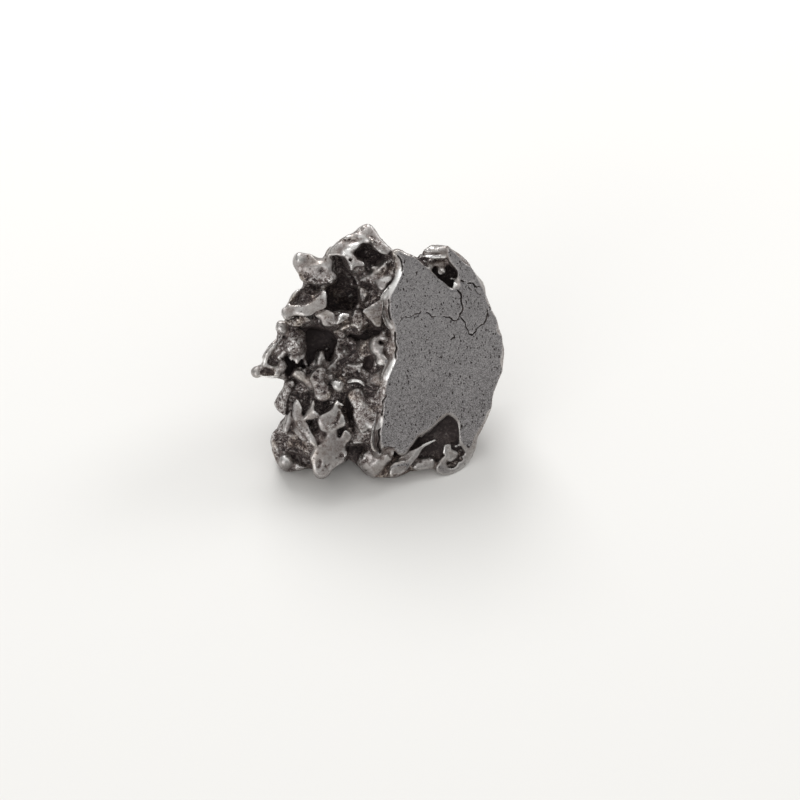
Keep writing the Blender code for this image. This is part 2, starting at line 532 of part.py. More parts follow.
def thin_out(obj, triangles):
    """Collapses edges where the skin is flattest, down to a number of triangles."""
    bm = bmesh.new()
    bm.from_mesh(obj.data)
    bmesh.ops.triangulate(bm, faces=bm.faces)
    bm.to_mesh(obj.data)
    bm.free()
    decimate = obj.modifiers.new("thin", "DECIMATE")
    decimate.ratio = triangles / len(obj.data.polygons)
    evaluate(obj)


def iron():
    material = bpy.data.materials.new("iron")
    material.use_nodes = True
    shader = material.node_tree.nodes["Principled BSDF"]
    shader.inputs["Base Color"].default_value = (0.28, 0.27, 0.265, 1)
    shader.inputs["Metallic"].default_value = 1.0
    shader.inputs["Roughness"].default_value = 0.38
    return material


def main():
    for obj in list(bpy.data.objects):
        bpy.data.objects.remove(obj)
    bulk = trimmed_bulk()
    ground = BVHTree.FromObject(bulk, bpy.context.evaluated_depsgraph_get())
    meteorite = iron_forms(bulk, ground)
    bpy.data.objects.remove(bulk)
    merge_forms(meteorite, UNION_VOXEL)
    keep_outer_skin(meteorite)
    hollows = hollow_forms(ground)
    merge_forms(hollows, UNION_VOXEL)
    cut(meteorite, hollows)
    meteorite = with_notch_forms(meteorite)
    merge_forms(meteorite, UNION_VOXEL)
    smooth = meteorite.modifiers.new("settle", "SMOOTH")
    smooth.factor = 0.5
    smooth.iterations = 1
    evaluate(meteorite)
    keep_outer_skin(meteorite)
    thin_out(meteorite, TRIANGLES)
    cut(meteorite, block_on_plane("saw", place(*SAW_POINT), saw_normal(), BLOCK))
    cut(meteorite, block_on_plane("table", Vector((0, 0, GROUND)), Vector((0, 0, -1)), BLOCK))
    keep_outer_skin(meteorite)
    meteorite.data.transform(Matrix.Translation(CENTRING * MM))
    meteorite.data.materials.append(iron())


main()
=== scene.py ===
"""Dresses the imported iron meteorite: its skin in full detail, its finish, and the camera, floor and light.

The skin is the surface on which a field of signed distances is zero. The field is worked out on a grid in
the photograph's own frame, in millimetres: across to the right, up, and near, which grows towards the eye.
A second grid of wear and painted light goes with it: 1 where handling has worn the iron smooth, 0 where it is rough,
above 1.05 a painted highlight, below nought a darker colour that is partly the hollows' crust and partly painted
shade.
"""

import math
import random

import bmesh
import bpy
import numpy as np
from mathutils import Euler, Matrix, Vector


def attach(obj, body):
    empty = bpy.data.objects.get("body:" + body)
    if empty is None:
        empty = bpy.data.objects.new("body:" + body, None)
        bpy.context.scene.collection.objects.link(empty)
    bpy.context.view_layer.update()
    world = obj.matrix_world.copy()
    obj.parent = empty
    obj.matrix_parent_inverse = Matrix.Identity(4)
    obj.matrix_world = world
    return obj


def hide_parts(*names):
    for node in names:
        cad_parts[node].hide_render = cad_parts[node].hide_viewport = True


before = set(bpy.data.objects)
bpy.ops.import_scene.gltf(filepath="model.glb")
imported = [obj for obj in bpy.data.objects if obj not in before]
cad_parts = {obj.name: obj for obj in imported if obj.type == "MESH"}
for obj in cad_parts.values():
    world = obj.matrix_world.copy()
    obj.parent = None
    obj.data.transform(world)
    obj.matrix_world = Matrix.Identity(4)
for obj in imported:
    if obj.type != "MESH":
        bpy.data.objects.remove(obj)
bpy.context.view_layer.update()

MM = 0.001

# The eye that the forms are written down from, as in the part's source.
EYE_RISE = math.radians(44)
EYE_SIN, EYE_COS = math.sin(EYE_RISE), math.cos(EYE_RISE)
EYE_DISTANCE = 342.0
EYE_ACROSS, EYE_UP = 3.3, 9.3
CENTRING = np.array((-0.527, -7.835, 0.0))

SAW_POINT = (8.5, 14.0, 6.9)
SAW_TURN = math.radians(22)
SAW_LEAN = math.radians(22)
SAW_SLOPE = (-0.395, 0.373)
BROKEN_SLOPE = (1.9, -0.12, 0.21)

STEP = 0.2
GRID_LOW = (-17.6, -3.6, -17.0)
GRID_HIGH = (18.4, 34.2, 14.6)
FAR = 4.0
TRIANGLES = 178000

BULK = {
    "boulder": ((2.2, 9.4, 14.2), (12.6, 6.4, 12.9), -20),
    "crown": ((-2.2, 14.6, 20.4), (5.6, 5.2, 5.5), -20),
    "top": ((1.8, 14.6, 20.9), (5.0, 3.8, 4.4), -20),
    "under_mitten": ((-2.3, 3.2, 2.2), (3.0, 2.2, 2.3), 0),
    "sole": ((6.0, 3.8, 2.5), (5.4, 3.3, 2.4), 0),
    "flank": ((-8.2, 8.8, 13.4), (4.6, 4.5, 6.8), -15),
    "low_left": ((-6.6, 4.8, 6.4), (5.3, 4.4, 5.4), 0),
    "low_corner": ((-10.4, 2.9, 3.9), (2.9, 2.6, 3.1), 0),
    "base": ((1.8, 8.3, 5.8), (9.0, 7.1, 5.6), 0),
    "left_foot": ((-5.2, 10.2, 2.6), (2.8, 2.6, 2.8), 0),
    "back_foot": ((3.2, 12.8, 2.7), (3.0, 2.7, 3.0), 0),
    "right_foot": ((9.6, 6.4, 2.4), (2.4, 2.3, 2.6), 0),
}

WINDOW = [
    (2.3, 28.8), (3.0, 29.2), (3.8, 29.0), (5.0, 28.25), (5.8, 27.9), (6.0, 28.6), (6.4, 29.35), (7.1, 29.6),
    (8.0, 29.75), (9.0, 29.8), (9.8, 29.6), (10.9, 28.9), (12.0, 28.0), (13.0, 26.8), (13.8, 26.1),
    (14.3, 25.2), (14.5, 24.0), (14.8, 22.6), (15.1, 21.6), (15.7, 20.9), (16.2, 19.6), (16.7, 17.8),
    (17.1, 15.9), (17.2, 14.4), (17.0, 13.3), (16.4, 12.3), (15.9, 10.8), (15.5, 9.6), (15.3, 8.0),
    (14.8, 6.7), (14.0, 5.3), (13.5, 4.2), (13.3, 2.8), (13.0, 1.4), (12.5, 0.8), (11.8, 0.3), (11.2, -0.3),
    (10.4, -0.7), (9.4, -0.75), (8.5, -0.6), (7.8, 0.2), (6.0, 1.2), (4.5, 1.2), (3.0, 2.0), (2.7, 2.9), (1.3, 3.0), (1.15, 2.4), (0.2, 2.4), (-0.35, 2.8),
    (-0.4, 4.0), (-0.3, 5.2), (0.1, 5.9), (0.35, 6.6), (0.5, 7.4), (0.6, 9.0), (0.75, 10.8), (0.95, 12.0),
    (1.15, 13.2), (1.75, 13.95), (2.3, 14.8), (2.25, 16.0), (2.2, 17.6), (2.1, 18.5), (1.5, 19.2), (1.15, 20.0),
    (1.1, 21.2), (1.05, 22.2), (0.7, 22.7), (1.2, 23.3), (1.9, 24.1), (2.5, 25.0), (2.85, 26.0), (2.95, 27.0),
    (2.7, 28.0),
]
# Depth behind the saw, and what the outline's size and lift are there.
WINDOW_DEPTHS = (-1.0, 0.8, 2.5, 5.5, 8.5, 10.5, 11.8)
WINDOW_SIZES = (1.0, 1.0, 0.96, 0.84, 0.62, 0.38, 0.14)
WINDOW_LIFTS = (0.0, 0.2, 0.6, 1.4, 2.2, 2.8, 3.2)


# The sawn face's own edge, from its top down its left side, and on round as the window's.
FACE_LEFT = [
    (2.5, 29.0), (3.35, 28.3), (3.7, 27.2), (3.7, 26.3), (3.4, 25.4), (2.6, 23.75), (2.05, 22.9), (2.0, 21.8),
    (2.1, 20.6), (2.9, 18.8), (2.8, 17.5), (3.0, 15.2), (2.7, 14.0), (2.2, 13.0), (1.8, 12.0), (1.4, 10.0),
    (1.25, 8.0), (1.1, 6.0), (0.9, 5.2), (0.85, 3.2), (2.0, 3.15), (2.5, 3.1), (2.8, 2.0),
]
# How far the worn edge falls away below the saw's plane, by how far it is beyond the face's edge.
BEVEL_OUT = (0.0, 0.25, 0.9, 1.3, 1.4, 2.6)
BEVEL_DEPTH = (0.0, 0.11, 0.66, -1.0, -1.5, -3.0)
LOW_BEVEL_OUT = (0.0, 0.25, 0.9, 1.8, 3.0, 4.2)
LOW_BEVEL_DEPTH = (0.0, 0.11, 0.45, 0.5, 0.3, 0.05)
FACE = FACE_LEFT + [(3.0, 2.55), (3.6, 2.2), (4.1, 2.55), (4.7, 3.3), (5.2, 4.15), (5.65, 4.85), (6.2, 5.05),
                    (6.95, 5.5), (7.65, 6.1), (8.25, 6.8), (8.9, 7.4), (9.66, 7.85), (10.55, 7.4), (11.3, 6.65),
                    (11.35, 5.6), (11.4, 4.6), (11.45, 4.0), (11.9, 3.4), (12.5, 2.9), (12.75, 3.4), (12.95, 4.3),
                    (13.6, 5.3), (14.5, 6.8), (15.1, 8.0), (15.3, 9.6), (15.8, 10.8), (16.3, 12.3), (16.9, 13.3),
                    (17.2, 14.4), (17.1, 15.9), (16.7, 17.8), (16.2, 19.6), (15.7, 20.9), (15.1, 21.6),
                    (14.8, 22.6), (14.5, 24.0), (14.3, 25.2), (13.8, 26.1), (13.0, 26.8), (12.0, 28.0),
                    (10.9, 28.9), (9.9, 29.6), (9.7, 28.9), (9.75, 28.2), (10.3, 27.4), (11.0, 26.5), (11.1, 25.8),
                    (11.3, 25.35), (11.45, 24.7), (11.35, 24.1), (10.9, 23.9), (10.3, 24.0), (9.2, 24.8),
                    (8.2, 25.6), (7.2, 26.55), (6.5, 27.2), (5.85, 27.75), (5.0, 28.15), (3.8, 28.85)]

# The whole object's outline as the eye sees it, from the right end of its top round by its left side.
OUTLINE = [
    (5.7, 27.9), (4.9, 28.35), (3.8, 29.0), (3.0, 29.2), (2.3, 29.35), (1.9, 29.6), (1.2, 30.4), (0.6, 31.2),
    (0.0, 32.1), (-0.5, 32.65), (-1.1, 32.9), (-1.7, 32.65), (-2.2, 32.2), (-2.7, 31.65), (-3.2, 31.4),
    (-3.8, 31.1), (-4.6, 30.5), (-5.4, 30.15), (-6.0, 29.7), (-6.4, 29.0), (-6.6, 28.3), (-7.2, 28.1),
    (-7.8, 28.25), (-8.6, 28.65), (-9.3, 28.9), (-10.0, 29.15), (-10.5, 29.0), (-10.9, 28.6), (-11.1, 28.0),
    (-10.85, 27.2), (-10.6, 26.6), (-10.55, 26.0), (-10.4, 25.4), (-9.95, 25.0), (-9.9, 24.6), (-10.2, 24.2),
    (-10.7, 23.7), (-11.3, 22.9), (-12.0, 22.1), (-12.45, 21.4), (-12.5, 20.9), (-12.3, 20.4), (-12.0, 20.1),
    (-12.5, 19.95), (-12.9, 19.6), (-13.1, 18.9), (-13.2, 18.2), (-13.1, 17.4), (-13.5, 17.0), (-14.1, 16.3),
    (-14.6, 15.8), (-14.95, 15.1), (-14.8, 14.6), (-15.2, 14.1), (-15.6, 13.95), (-16.2, 13.75), (-16.5, 13.1),
    (-16.3, 12.5), (-15.8, 12.1), (-15.3, 12.1), (-14.0, 12.2), (-13.0, 12.3), (-12.1, 12.25), (-11.6, 12.0),
    (-12.0, 11.6), (-12.2, 11.0), (-12.6, 10.2), (-13.1, 9.3), (-13.4, 8.8), (-13.1, 8.1), (-12.4, 7.6),
    (-11.95, 7.2), (-12.2, 6.8), (-12.7, 6.0), (-13.2, 5.4), (-13.7, 5.0), (-13.95, 4.3), (-13.85, 3.2),
    (-13.7, 2.3), (-13.2, 1.4), (-12.8, 0.7), (-12.2, 0.0), (-11.4, -0.15), (-10.6, -0.05), (-9.5, 0.0),
    (-8.5, 0.05), (-8.4, -0.2), (-8.0, -0.9), (-7.3, -1.2), (-6.7, -1.1), (-6.0, -0.6), (-5.6, 0.0),
    (-5.0, 0.45), (-4.1, 1.0), (-3.7, 1.6), (-3.3, 1.5), (-2.9, 1.0), (-2.35, 0.5), (-1.9, 0.3), (-1.2, -0.4),
    (-0.6, -0.9), (0.4, -1.0), (1.5, -1.0), (2.6, -1.0), (3.2, -0.85), (4.2, -0.4), (5.2, -0.05), (6.5, 0.0),
    (7.6, 0.0), (8.2, -0.4), (9.0, -0.75), (10.2, -0.85), (11.4, -0.4), (12.4, 0.8), (13.1, 2.0), (13.35, 4.0),
    (14.1, 5.2), (15.3, 7.7), (15.6, 9.4), (16.1, 11.4), (17.0, 13.6), (17.2, 15.6), (16.55, 18.5),
    (15.8, 20.7), (15.1, 21.7), (14.6, 23.7), (14.1, 25.4), (12.6, 27.1), (10.9, 28.85), (9.4, 29.95),
    (7.6, 29.95), (6.8, 29.6), (6.2, 29.0), (5.95, 28.4),
]

# The broken ground between the forms: its outline, a little inside the object's, and how near it is at some
# places; between them it is blended by distance.
GROUND = [
    (-6.0, 28.0), (-5.2, 29.5), (-3.4, 30.3), (-1.2, 32.0), (0.6, 30.6), (2.4, 28.9), (3.2, 27.5), (2.4, 24.0),
    (2.0, 21.0), (3.0, 17.0), (2.2, 14.0), (1.2, 10.0), (1.0, 5.0), (0.4, 2.2), (-1.4, 1.0), (-2.4, 1.2),
    (-3.6, 1.4), (-5.0, 1.0), (-7.0, -0.5), (-8.2, 0.5), (-9.5, 0.5), (-12.0, 0.5), (-13.2, 2.2), (-13.5, 4.2),
    (-12.5, 5.2), (-11.8, 7.6), (-12.1, 9.2), (-11.3, 11.6), (-13.6, 12.9), (-14.2, 14.4), (-12.6, 17.1),
    (-12.7, 18.2), (-12.0, 19.5), (-11.3, 20.2), (-11.8, 21.4), (-10.2, 23.6), (-9.2, 24.4), (-9.2, 25.4),
    (-10.2, 26.8), (-10.0, 28.5), (-8.0, 27.8),
]
GROUND_NEAR = [
    (-9.0, 27.0, 9.6), (-7.0, 24.6, 8.4), (-9.5, 23.0, 8.6), (-4.6, 27.4, 9.0), (-4.6, 25.0, 7.2), (-4.4, 22.6, 5.4),
    (-3.5, 29.5, 10.8), (-1.2, 31.0, 10.2), (-0.8, 28.6, 8.4), (1.0, 27.6, 10.4), (-1.2, 26.6, 9.2),
    (-0.6, 25.2, 9.6), (0.8, 24.8, 10.3), (-1.4, 23.2, 8.9), (0.0, 22.4, 10.0), (1.8, 24.0, 10.6), (-2.2, 21.4, 8.6),
    (-11.0, 19.6, 8.0), (-8.8, 19.6, 8.0), (-6.2, 20.0, 9.4), (-3.9, 20.0, 9.6), (-2.0, 19.6, 9.8),
    (0.4, 20.6, 10.6), (1.8, 21.0, 10.6), (-12.4, 18.6, 7.0), (-10.4, 17.2, 6.6), (-8.2, 17.6, 4.2),
    (-6.2, 17.6, 4.0), (-4.6, 18.4, 7.8), (-4.2, 17.0, 5.4), (-2.6, 17.4, 5.6), (-1.6, 16.0, 7.6),
    (0.2, 16.2, 8.6), (1.6, 18.6, 9.4), (2.2, 16.6, 9.6), (-0.4, 18.2, 6.6), (-13.3, 15.4, 6.3), (-12.8, 13.2, 6.0),
    (-10.7, 14.2, 3.8), (-8.6, 14.8, 3.8), (-6.6, 15.2, 4.4), (-5.0, 15.6, 5.7), (-3.6, 15.2, 6.3),
    (-2.6, 14.0, 7.5), (-1.0, 14.6, 7.7), (-5.4, 13.4, 6.0), (-3.8, 13.2, 6.7), (-1.6, 12.6, 7.3),
    (-11.0, 11.6, 5.0), (-9.6, 12.4, 6.2), (-9.4, 11.0, 5.8), (-7.4, 12.0, 6.5), (-5.4, 12.2, 6.2), (-3.4, 12.2, 6.4),
    (0.4, 12.4, 7.3), (-0.4, 10.8, 6.9), (1.0, 11.0, 7.5), (-12.0, 9.6, 4.6), (-10.0, 9.4, 4.8), (-9.0, 8.4, 5.1),
    (-7.0, 8.6, 4.5), (-4.2, 8.0, 4.2), (-3.6, 9.6, 5.4), (-2.2, 9.6, 7.4), (-0.4, 9.4, 7.7), (0.6, 8.8, 7.6),
    (-1.6, 7.6, 7.2), (0.2, 7.2, 7.2), (-10.8, 6.4, 4.4), (-8.6, 5.8, 4.2), (-7.6, 5.6, 4.6), (-5.8, 6.8, 6.4),
    (-4.6, 5.2, 5.0), (-3.4, 6.2, 4.8), (-2.2, 6.2, 6.0), (-0.4, 6.0, 6.2), (-1.4, 5.2, 5.5), (-1.4, 4.0, 4.9),
    (-0.3, 4.6, 5.2), (-2.8, 3.6, 4.0), (-2.9, 2.2, 1.4), (-0.6, 2.8, 4.2), (-11.8, 5.2, 4.2), (-12.7, 3.8, 2.8),
    (-10.6, 4.4, 3.6), (-10.6, 2.8, 2.4), (-9.0, 4.6, 3.8), (-9.2, 2.6, 2.9), (-10.3, 1.6, 1.3), (-12.0, 1.4, 1.6),
    (-9.4, 0.5, 1.2), (-7.2, 4.2, 5.0), (-7.0, 1.5, 4.6), (-5.4, 2.4, 5.2), (-5.2, 4.2, 5.2),
]

LEDGES = {
    "spoon": dict(
        outline=[(-10.0, 24.2), (-10.6, 23.8), (-11.3, 22.9), (-12.0, 22.1), (-12.45, 21.4), (-12.5, 20.9),
                 (-12.3, 20.4), (-12.0, 20.15), (-11.4, 20.4), (-10.3, 20.6), (-9.2, 20.35), (-8.3, 20.6),
                 (-7.8, 21.0), (-7.1, 21.3), (-6.4, 21.5), (-6.35, 22.6), (-6.35, 23.7), (-7.0, 24.0),
                 (-8.5, 24.3)],
        front=(11.2, 0.1, -0.1), thick=3.4, crown=0.1, span=0.4, polish_and_painted_light=(0.95, 0.9)),
    "spoon_bowl": dict(
        outline=[(-6.45, 23.85), (-7.0, 22.95), (-7.6, 22.35), (-8.4, 21.8), (-9.2, 21.5), (-10.0, 21.4),
                 (-10.8, 21.5), (-11.5, 21.8), (-11.85, 22.25), (-11.3, 23.0), (-10.6, 23.9), (-9.6, 25.2),
                 (-8.0, 25.6), (-6.6, 25.2)],
        front=(11.9, 0.1, -0.1), thick=3.0, bowl=1.0, span=0.75, soft=0.12, polish_and_painted_light=(0.2, 0.12)),
    "flap": dict(
        outline=[(-11.1, 28.0), (-10.9, 28.6), (-10.5, 29.0), (-10.0, 29.15), (-9.3, 28.9), (-8.6, 28.65),
                 (-7.8, 28.3), (-7.1, 28.15), (-6.4, 28.25), (-5.8, 28.2), (-5.5, 27.6), (-5.7, 26.8),
                 (-5.6, 26.2), (-5.2, 25.8), (-5.1, 25.3), (-5.4, 24.9), (-6.3, 24.75), (-7.3, 24.5),
                 (-8.3, 24.5), (-9.3, 24.9), (-9.9, 25.0), (-10.4, 25.4), (-10.5, 26.0), (-10.6, 26.6),
                 (-10.8, 27.1), (-11.0, 27.5)],
        front=(10.9, 0.12, 0.12), thick=2.6, crown=0.3, span=0.7, polish_and_painted_light=(0.9, 0.85)),
    "brow": dict(
        outline=[(-6.5, 28.3), (-6.3, 29.2), (-5.7, 29.95), (-4.9, 30.35), (-4.0, 30.45), (-3.0, 30.5),
                 (-2.1, 30.5), (-1.6, 30.25), (-2.0, 29.75), (-2.6, 29.25), (-2.9, 28.6), (-2.4, 28.2),
                 (-1.7, 27.9), (-1.2, 27.3), (-1.7, 27.1), (-2.7, 27.1), (-3.1, 26.2), (-3.6, 26.8),
                 (-4.0, 27.8), (-4.5, 28.35), (-5.4, 28.35)],
        front=(11.9, 0.12, -0.15), thick=4.5, crown=0.45, span=0.8, polish_and_painted_light=(0.85, 0.7)),
    "nose": dict(
        outline=[(-3.3, 27.2), (-2.9, 27.6), (-2.2, 27.5), (-1.5, 27.2), (-1.3, 26.7), (-1.8, 26.2),
                 (-2.6, 26.0), (-3.1, 26.2), (-3.5, 26.7)],
        front=(11.0, 0.1, 0.7), thick=3.0, polish_and_painted_light=(0.3, 0.2)),
    "peak": dict(
        outline=[(-5.0, 30.35), (-4.2, 30.85), (-3.4, 31.35), (-2.7, 31.65), (-2.2, 32.2), (-1.7, 32.65),
                 (-1.1, 32.85), (-0.5, 32.65), (0.0, 32.1), (0.6, 31.2), (1.2, 30.4), (1.9, 29.6), (2.3, 29.0),
                 (1.6, 28.6), (1.0, 28.75), (0.5, 28.8), (0.0, 29.2), (-0.7, 29.9), (-1.2, 29.95),
                 (-1.6, 30.3), (-3.0, 30.3)],
        front=(11.9, 0.0, -0.2), thick=4.5, crown=0.2, span=0.6, polish_and_painted_light=(0.9, 0.8)),
    "peak_facet": dict(
        outline=[(-1.0, 31.0), (-0.2, 30.95), (0.4, 30.5), (1.1, 29.9), (1.2, 29.2), (0.7, 28.85), (0.3, 28.9),
                 (-0.4, 29.7), (-0.9, 30.4)],
        front=(12.2, 0.3, 0.55), thick=3.0, polish_and_painted_light=(0.45, 0.1)),
    "wall": dict(
        outline=[(-2.5, 26.0), (-0.9, 26.4), (0.4, 27.6), (1.3, 28.3), (2.3, 28.4), (3.0, 27.2), (2.8, 25.8),
                 (2.2, 24.6), (1.5, 23.6), (0.6, 22.9), (-0.5, 22.0), (-1.6, 21.8), (-2.2, 22.4),
                 (-2.3, 24.0), (-2.6, 25.0)],
        front=(10.0, 0.4, 0.0), thick=5.0, crown=-0.1, polish_and_painted_light=(0.35, 0.3)),
    "wall_plate": dict(
        outline=[(-0.2, 24.9), (0.4, 25.4), (0.9, 25.8), (1.6, 25.85), (2.4, 25.75), (2.2, 25.1), (1.7, 24.4),
                 (1.35, 23.8), (0.7, 23.7), (0.2, 24.2)],
        front=(10.7, 0.3, 0.0), thick=2.0, polish_and_painted_light=(0.85, 0.6)),
    "wall_patch": dict(
        outline=[(-2.0, 24.3), (-1.1, 24.1), (-0.7, 23.6), (-1.0, 22.6), (-1.5, 22.1), (-1.9, 22.6), (-2.1, 23.4)],
        front=(10.3, 0.1, 0.1), thick=2.5, polish_and_painted_light=(0.45, 0.4)),
    "under_plate": dict(
        outline=[(-12.0, 20.2), (-10.5, 20.6), (-9.0, 20.5), (-8.3, 20.1), (-8.6, 19.7), (-9.6, 19.3),
                 (-9.8, 19.0), (-11.1, 19.0), (-11.5, 19.4)],
        front=(9.3, 0.0, 0.5), thick=2.5, polish_and_painted_light=(0.0, -0.1)),
    "petal_left": dict(
        outline=[(-8.0, 20.4), (-7.7, 20.9), (-7.1, 21.2), (-6.4, 21.35), (-5.7, 21.05), (-5.25, 20.7),
                 (-5.1, 20.2), (-5.0, 19.7), (-5.2, 19.25), (-5.7, 18.95), (-6.3, 19.0), (-6.9, 19.35),
                 (-7.2, 19.9), (-7.6, 20.15)],
        front=(10.9, 0.1, 0.12), thick=2.6, crown=0.3, span=0.5, polish_and_painted_light=(0.9, 0.8)),
    "petal_right": dict(
        outline=[(-5.2, 20.5), (-4.8, 20.8), (-4.2, 21.0), (-3.6, 20.98), (-3.25, 20.6), (-3.6, 20.25),
                 (-4.0, 20.0), (-4.4, 19.6), (-4.9, 19.2), (-5.3, 19.2)],
        front=(11.2, -0.05, -0.15), thick=2.6, crown=0.25, span=0.4, polish_and_painted_light=(1.0, 0.9)),
    "shoulder": dict(
        outline=[(0.0, 22.4), (0.7, 22.8), (1.3, 22.7), (1.3, 21.9), (1.2, 21.2), (1.15, 20.4),
                 (1.1, 19.6), (0.8, 18.9), (0.1, 18.8), (-0.5, 19.3), (-0.8, 19.7), (-1.3, 19.9),
                 (-1.7, 20.4), (-2.1, 21.1), (-1.8, 21.6), (-1.1, 21.85), (-0.5, 22.1)],
        front=(11.4, -0.33, 0.33), thick=4.5, crown=0.0, span=0.5, polish_and_painted_light=(0.7, 0.85)),
    "step": dict(
        outline=[(-3.0, 21.3), (-2.6, 21.7), (-2.0, 21.5), (-1.6, 21.1), (-1.2, 20.3), (-0.5, 19.6), (-0.9, 19.1),
                 (-1.5, 18.8), (-2.0, 18.3), (-2.4, 18.8), (-3.1, 19.1), (-3.4, 19.8), (-3.2, 20.6)],
        front=(10.5, 0.15, 0.2), thick=3.6, polish_and_painted_light=(0.25, 0.2)),
    "lip_high": dict(
        outline=[(-4.7, 18.75), (-4.3, 18.45), (-3.7, 18.7), (-3.1, 19.0), (-2.9, 19.4), (-3.6, 19.6),
                 (-4.4, 19.3)],
        front=(9.3, 0.1, 0.5), thick=2.5, polish_and_painted_light=(0.45, 0.1)),
    "lip_low": dict(
        outline=[(-5.5, 18.3), (-5.1, 17.75), (-4.7, 17.45), (-4.1, 17.5), (-3.8, 17.9), (-3.9, 18.5),
                 (-5.2, 18.6)],
        front=(7.9, 0.1, 0.5), thick=2.5, polish_and_painted_light=(0.4, 0.1)),
    "wing": dict(
        outline=[(-15.0, 14.1), (-14.9, 15.2), (-14.3, 16.2), (-13.6, 17.0), (-13.0, 17.5), (-12.1, 18.0),
                 (-11.6, 17.0), (-11.6, 16.0), (-12.3, 15.3), (-12.9, 14.6), (-13.4, 13.9), (-14.2, 13.8)],
        front=(6.9, 0.2, 0.35), thick=2.2, polish_and_painted_light=(0.2, 0.1)),
    "left_horn": dict(
        outline=[(-16.45, 13.0), (-16.1, 13.7), (-15.4, 14.0), (-14.6, 14.2), (-13.6, 13.8), (-12.2, 13.9),
                 (-11.6, 13.2), (-11.8, 12.2), (-13.0, 12.2), (-15.0, 12.3), (-15.5, 12.1), (-16.1, 12.3)],
        front=(6.6, 0.0, 0.2), thick=2.1, polish_and_painted_light=(0.8, 0.5)),
    "pitted": dict(
        outline=[(-9.0, 12.2), (-8.5, 13.0), (-7.7, 13.6), (-6.9, 13.75), (-6.4, 13.3), (-6.6, 12.6),
                 (-6.9, 12.0), (-6.5, 11.4), (-6.0, 10.9), (-5.9, 10.0), (-6.1, 9.3), (-7.0, 9.15),
                 (-8.0, 9.45), (-8.15, 10.3), (-8.3, 11.3)],
        front=(8.2, -0.05, -0.1), thick=3.2, crown=0.3, span=0.6, polish_and_painted_light=(0.7, 0.5)),
    "finger": dict(
        outline=[(-11.3, 12.0), (-12.0, 11.9), (-12.5, 10.6), (-13.3, 9.2), (-13.5, 8.6), (-13.2, 8.0),
                 (-12.5, 7.5), (-12.0, 7.2), (-11.9, 8.2), (-11.5, 9.2), (-11.3, 10.0), (-11.0, 10.8)],
        front=(5.8, 0.35, 0.1), thick=2.4, crown=0.3, span=0.5, polish_and_painted_light=(0.45, 0.15)),
    "finger_lobe": dict(
        outline=[(-11.3, 12.0), (-10.8, 11.9), (-10.6, 11.4), (-10.7, 11.0), (-11.0, 10.9), (-11.3, 11.4)],
        front=(6.4, 0.0, 0.1), thick=1.8, polish_and_painted_light=(0.7, 0.6)),
    "small_leaf": dict(
        outline=[(-10.75, 13.0), (-10.5, 13.4), (-9.9, 13.35), (-9.4, 12.9), (-9.2, 12.5), (-9.5, 12.45),
                 (-10.1, 12.75)],
        front=(7.2, -0.1, 0.1), thick=1.8, polish_and_painted_light=(0.95, 0.8)),
    "tooth": dict(
        outline=[(-8.2, 9.6), (-8.55, 8.7), (-9.0, 7.8), (-9.55, 6.9), (-9.3, 6.6), (-8.5, 6.7), (-7.7, 6.8),
                 (-7.35, 7.2), (-7.8, 7.8), (-8.15, 8.2), (-8.05, 8.9)],
        front=(7.1, 0.1, 0.1), thick=2.2, crown=0.2, span=0.3, polish_and_painted_light=(1.0, 0.9)),
    "blade": dict(
        outline=[(-10.45, 9.5), (-10.85, 8.7), (-11.1, 7.9), (-11.0, 7.3), (-10.6, 6.5), (-10.2, 6.2),
                 (-9.6, 5.2), (-9.0, 4.3), (-8.4, 3.4), (-7.9, 3.1), (-8.2, 4.2), (-8.6, 5.2), (-9.2, 6.4),
                 (-9.7, 7.2), (-9.75, 7.7), (-9.55, 8.1), (-9.9, 8.7), (-10.2, 9.2)],
        front=(6.7, 0.1, -0.02), thick=2.2, crown=0.05, span=0.3, taper=0.3, polish_and_painted_light=(0.8, 0.85)),
    "blade_side": dict(
        outline=[(-10.9, 7.2), (-10.5, 7.0), (-10.1, 6.1), (-9.8, 5.4), (-9.6, 4.8), (-9.9, 4.7), (-10.3, 5.6),
                 (-10.7, 6.4)],
        front=(6.2, 0.15, -0.05), thick=2.0, taper=0.3, polish_and_painted_light=(0.75, 0.75)),
    "leaf": dict(
        outline=[(-11.2, 8.1), (-11.6, 7.4), (-12.0, 6.7), (-12.3, 6.0), (-12.2, 5.2), (-11.95, 4.85),
                 (-11.6, 4.95), (-11.25, 5.5), (-11.1, 6.3), (-11.0, 7.2)],
        front=(5.7, 0.15, 0.0), thick=2.0, crown=0.2, span=0.4, taper=0.3, polish_and_painted_light=(0.95, 0.9)),
    "mitten_tips": dict(
        outline=[(-5.0, 9.45), (-4.65, 8.85), (-4.05, 8.7), (-4.25, 8.2), (-4.5, 7.5), (-4.15, 7.1),
                 (-3.95, 6.5), (-3.8, 6.0), (-4.1, 5.65), (-5.0, 5.5), (-5.6, 5.0), (-6.4, 4.9), (-7.1, 5.1),
                 (-7.35, 5.5), (-7.45, 6.5), (-7.35, 7.1), (-6.6, 7.5), (-6.0, 7.9), (-5.6, 8.5)],
        front=(7.3, -0.1, 0.2), thick=3.4, crown=0.25, span=0.5, polish_and_painted_light=(1.0, 0.9)),
    "mitten_palm": dict(
        outline=[(-6.2, 5.6), (-5.1, 5.6), (-5.0, 5.1), (-4.85, 4.3), (-4.5, 4.5), (-4.3, 5.1), (-4.0, 5.5),
                 (-3.5, 5.1), (-3.0, 4.4), (-3.3, 3.9), (-3.9, 3.4), (-3.85, 2.8), (-3.55, 2.0),
                 (-3.8, 1.4), (-4.2, 0.9), (-5.0, 0.45), (-5.6, 0.0), (-6.0, -0.6), (-6.7, -1.1),
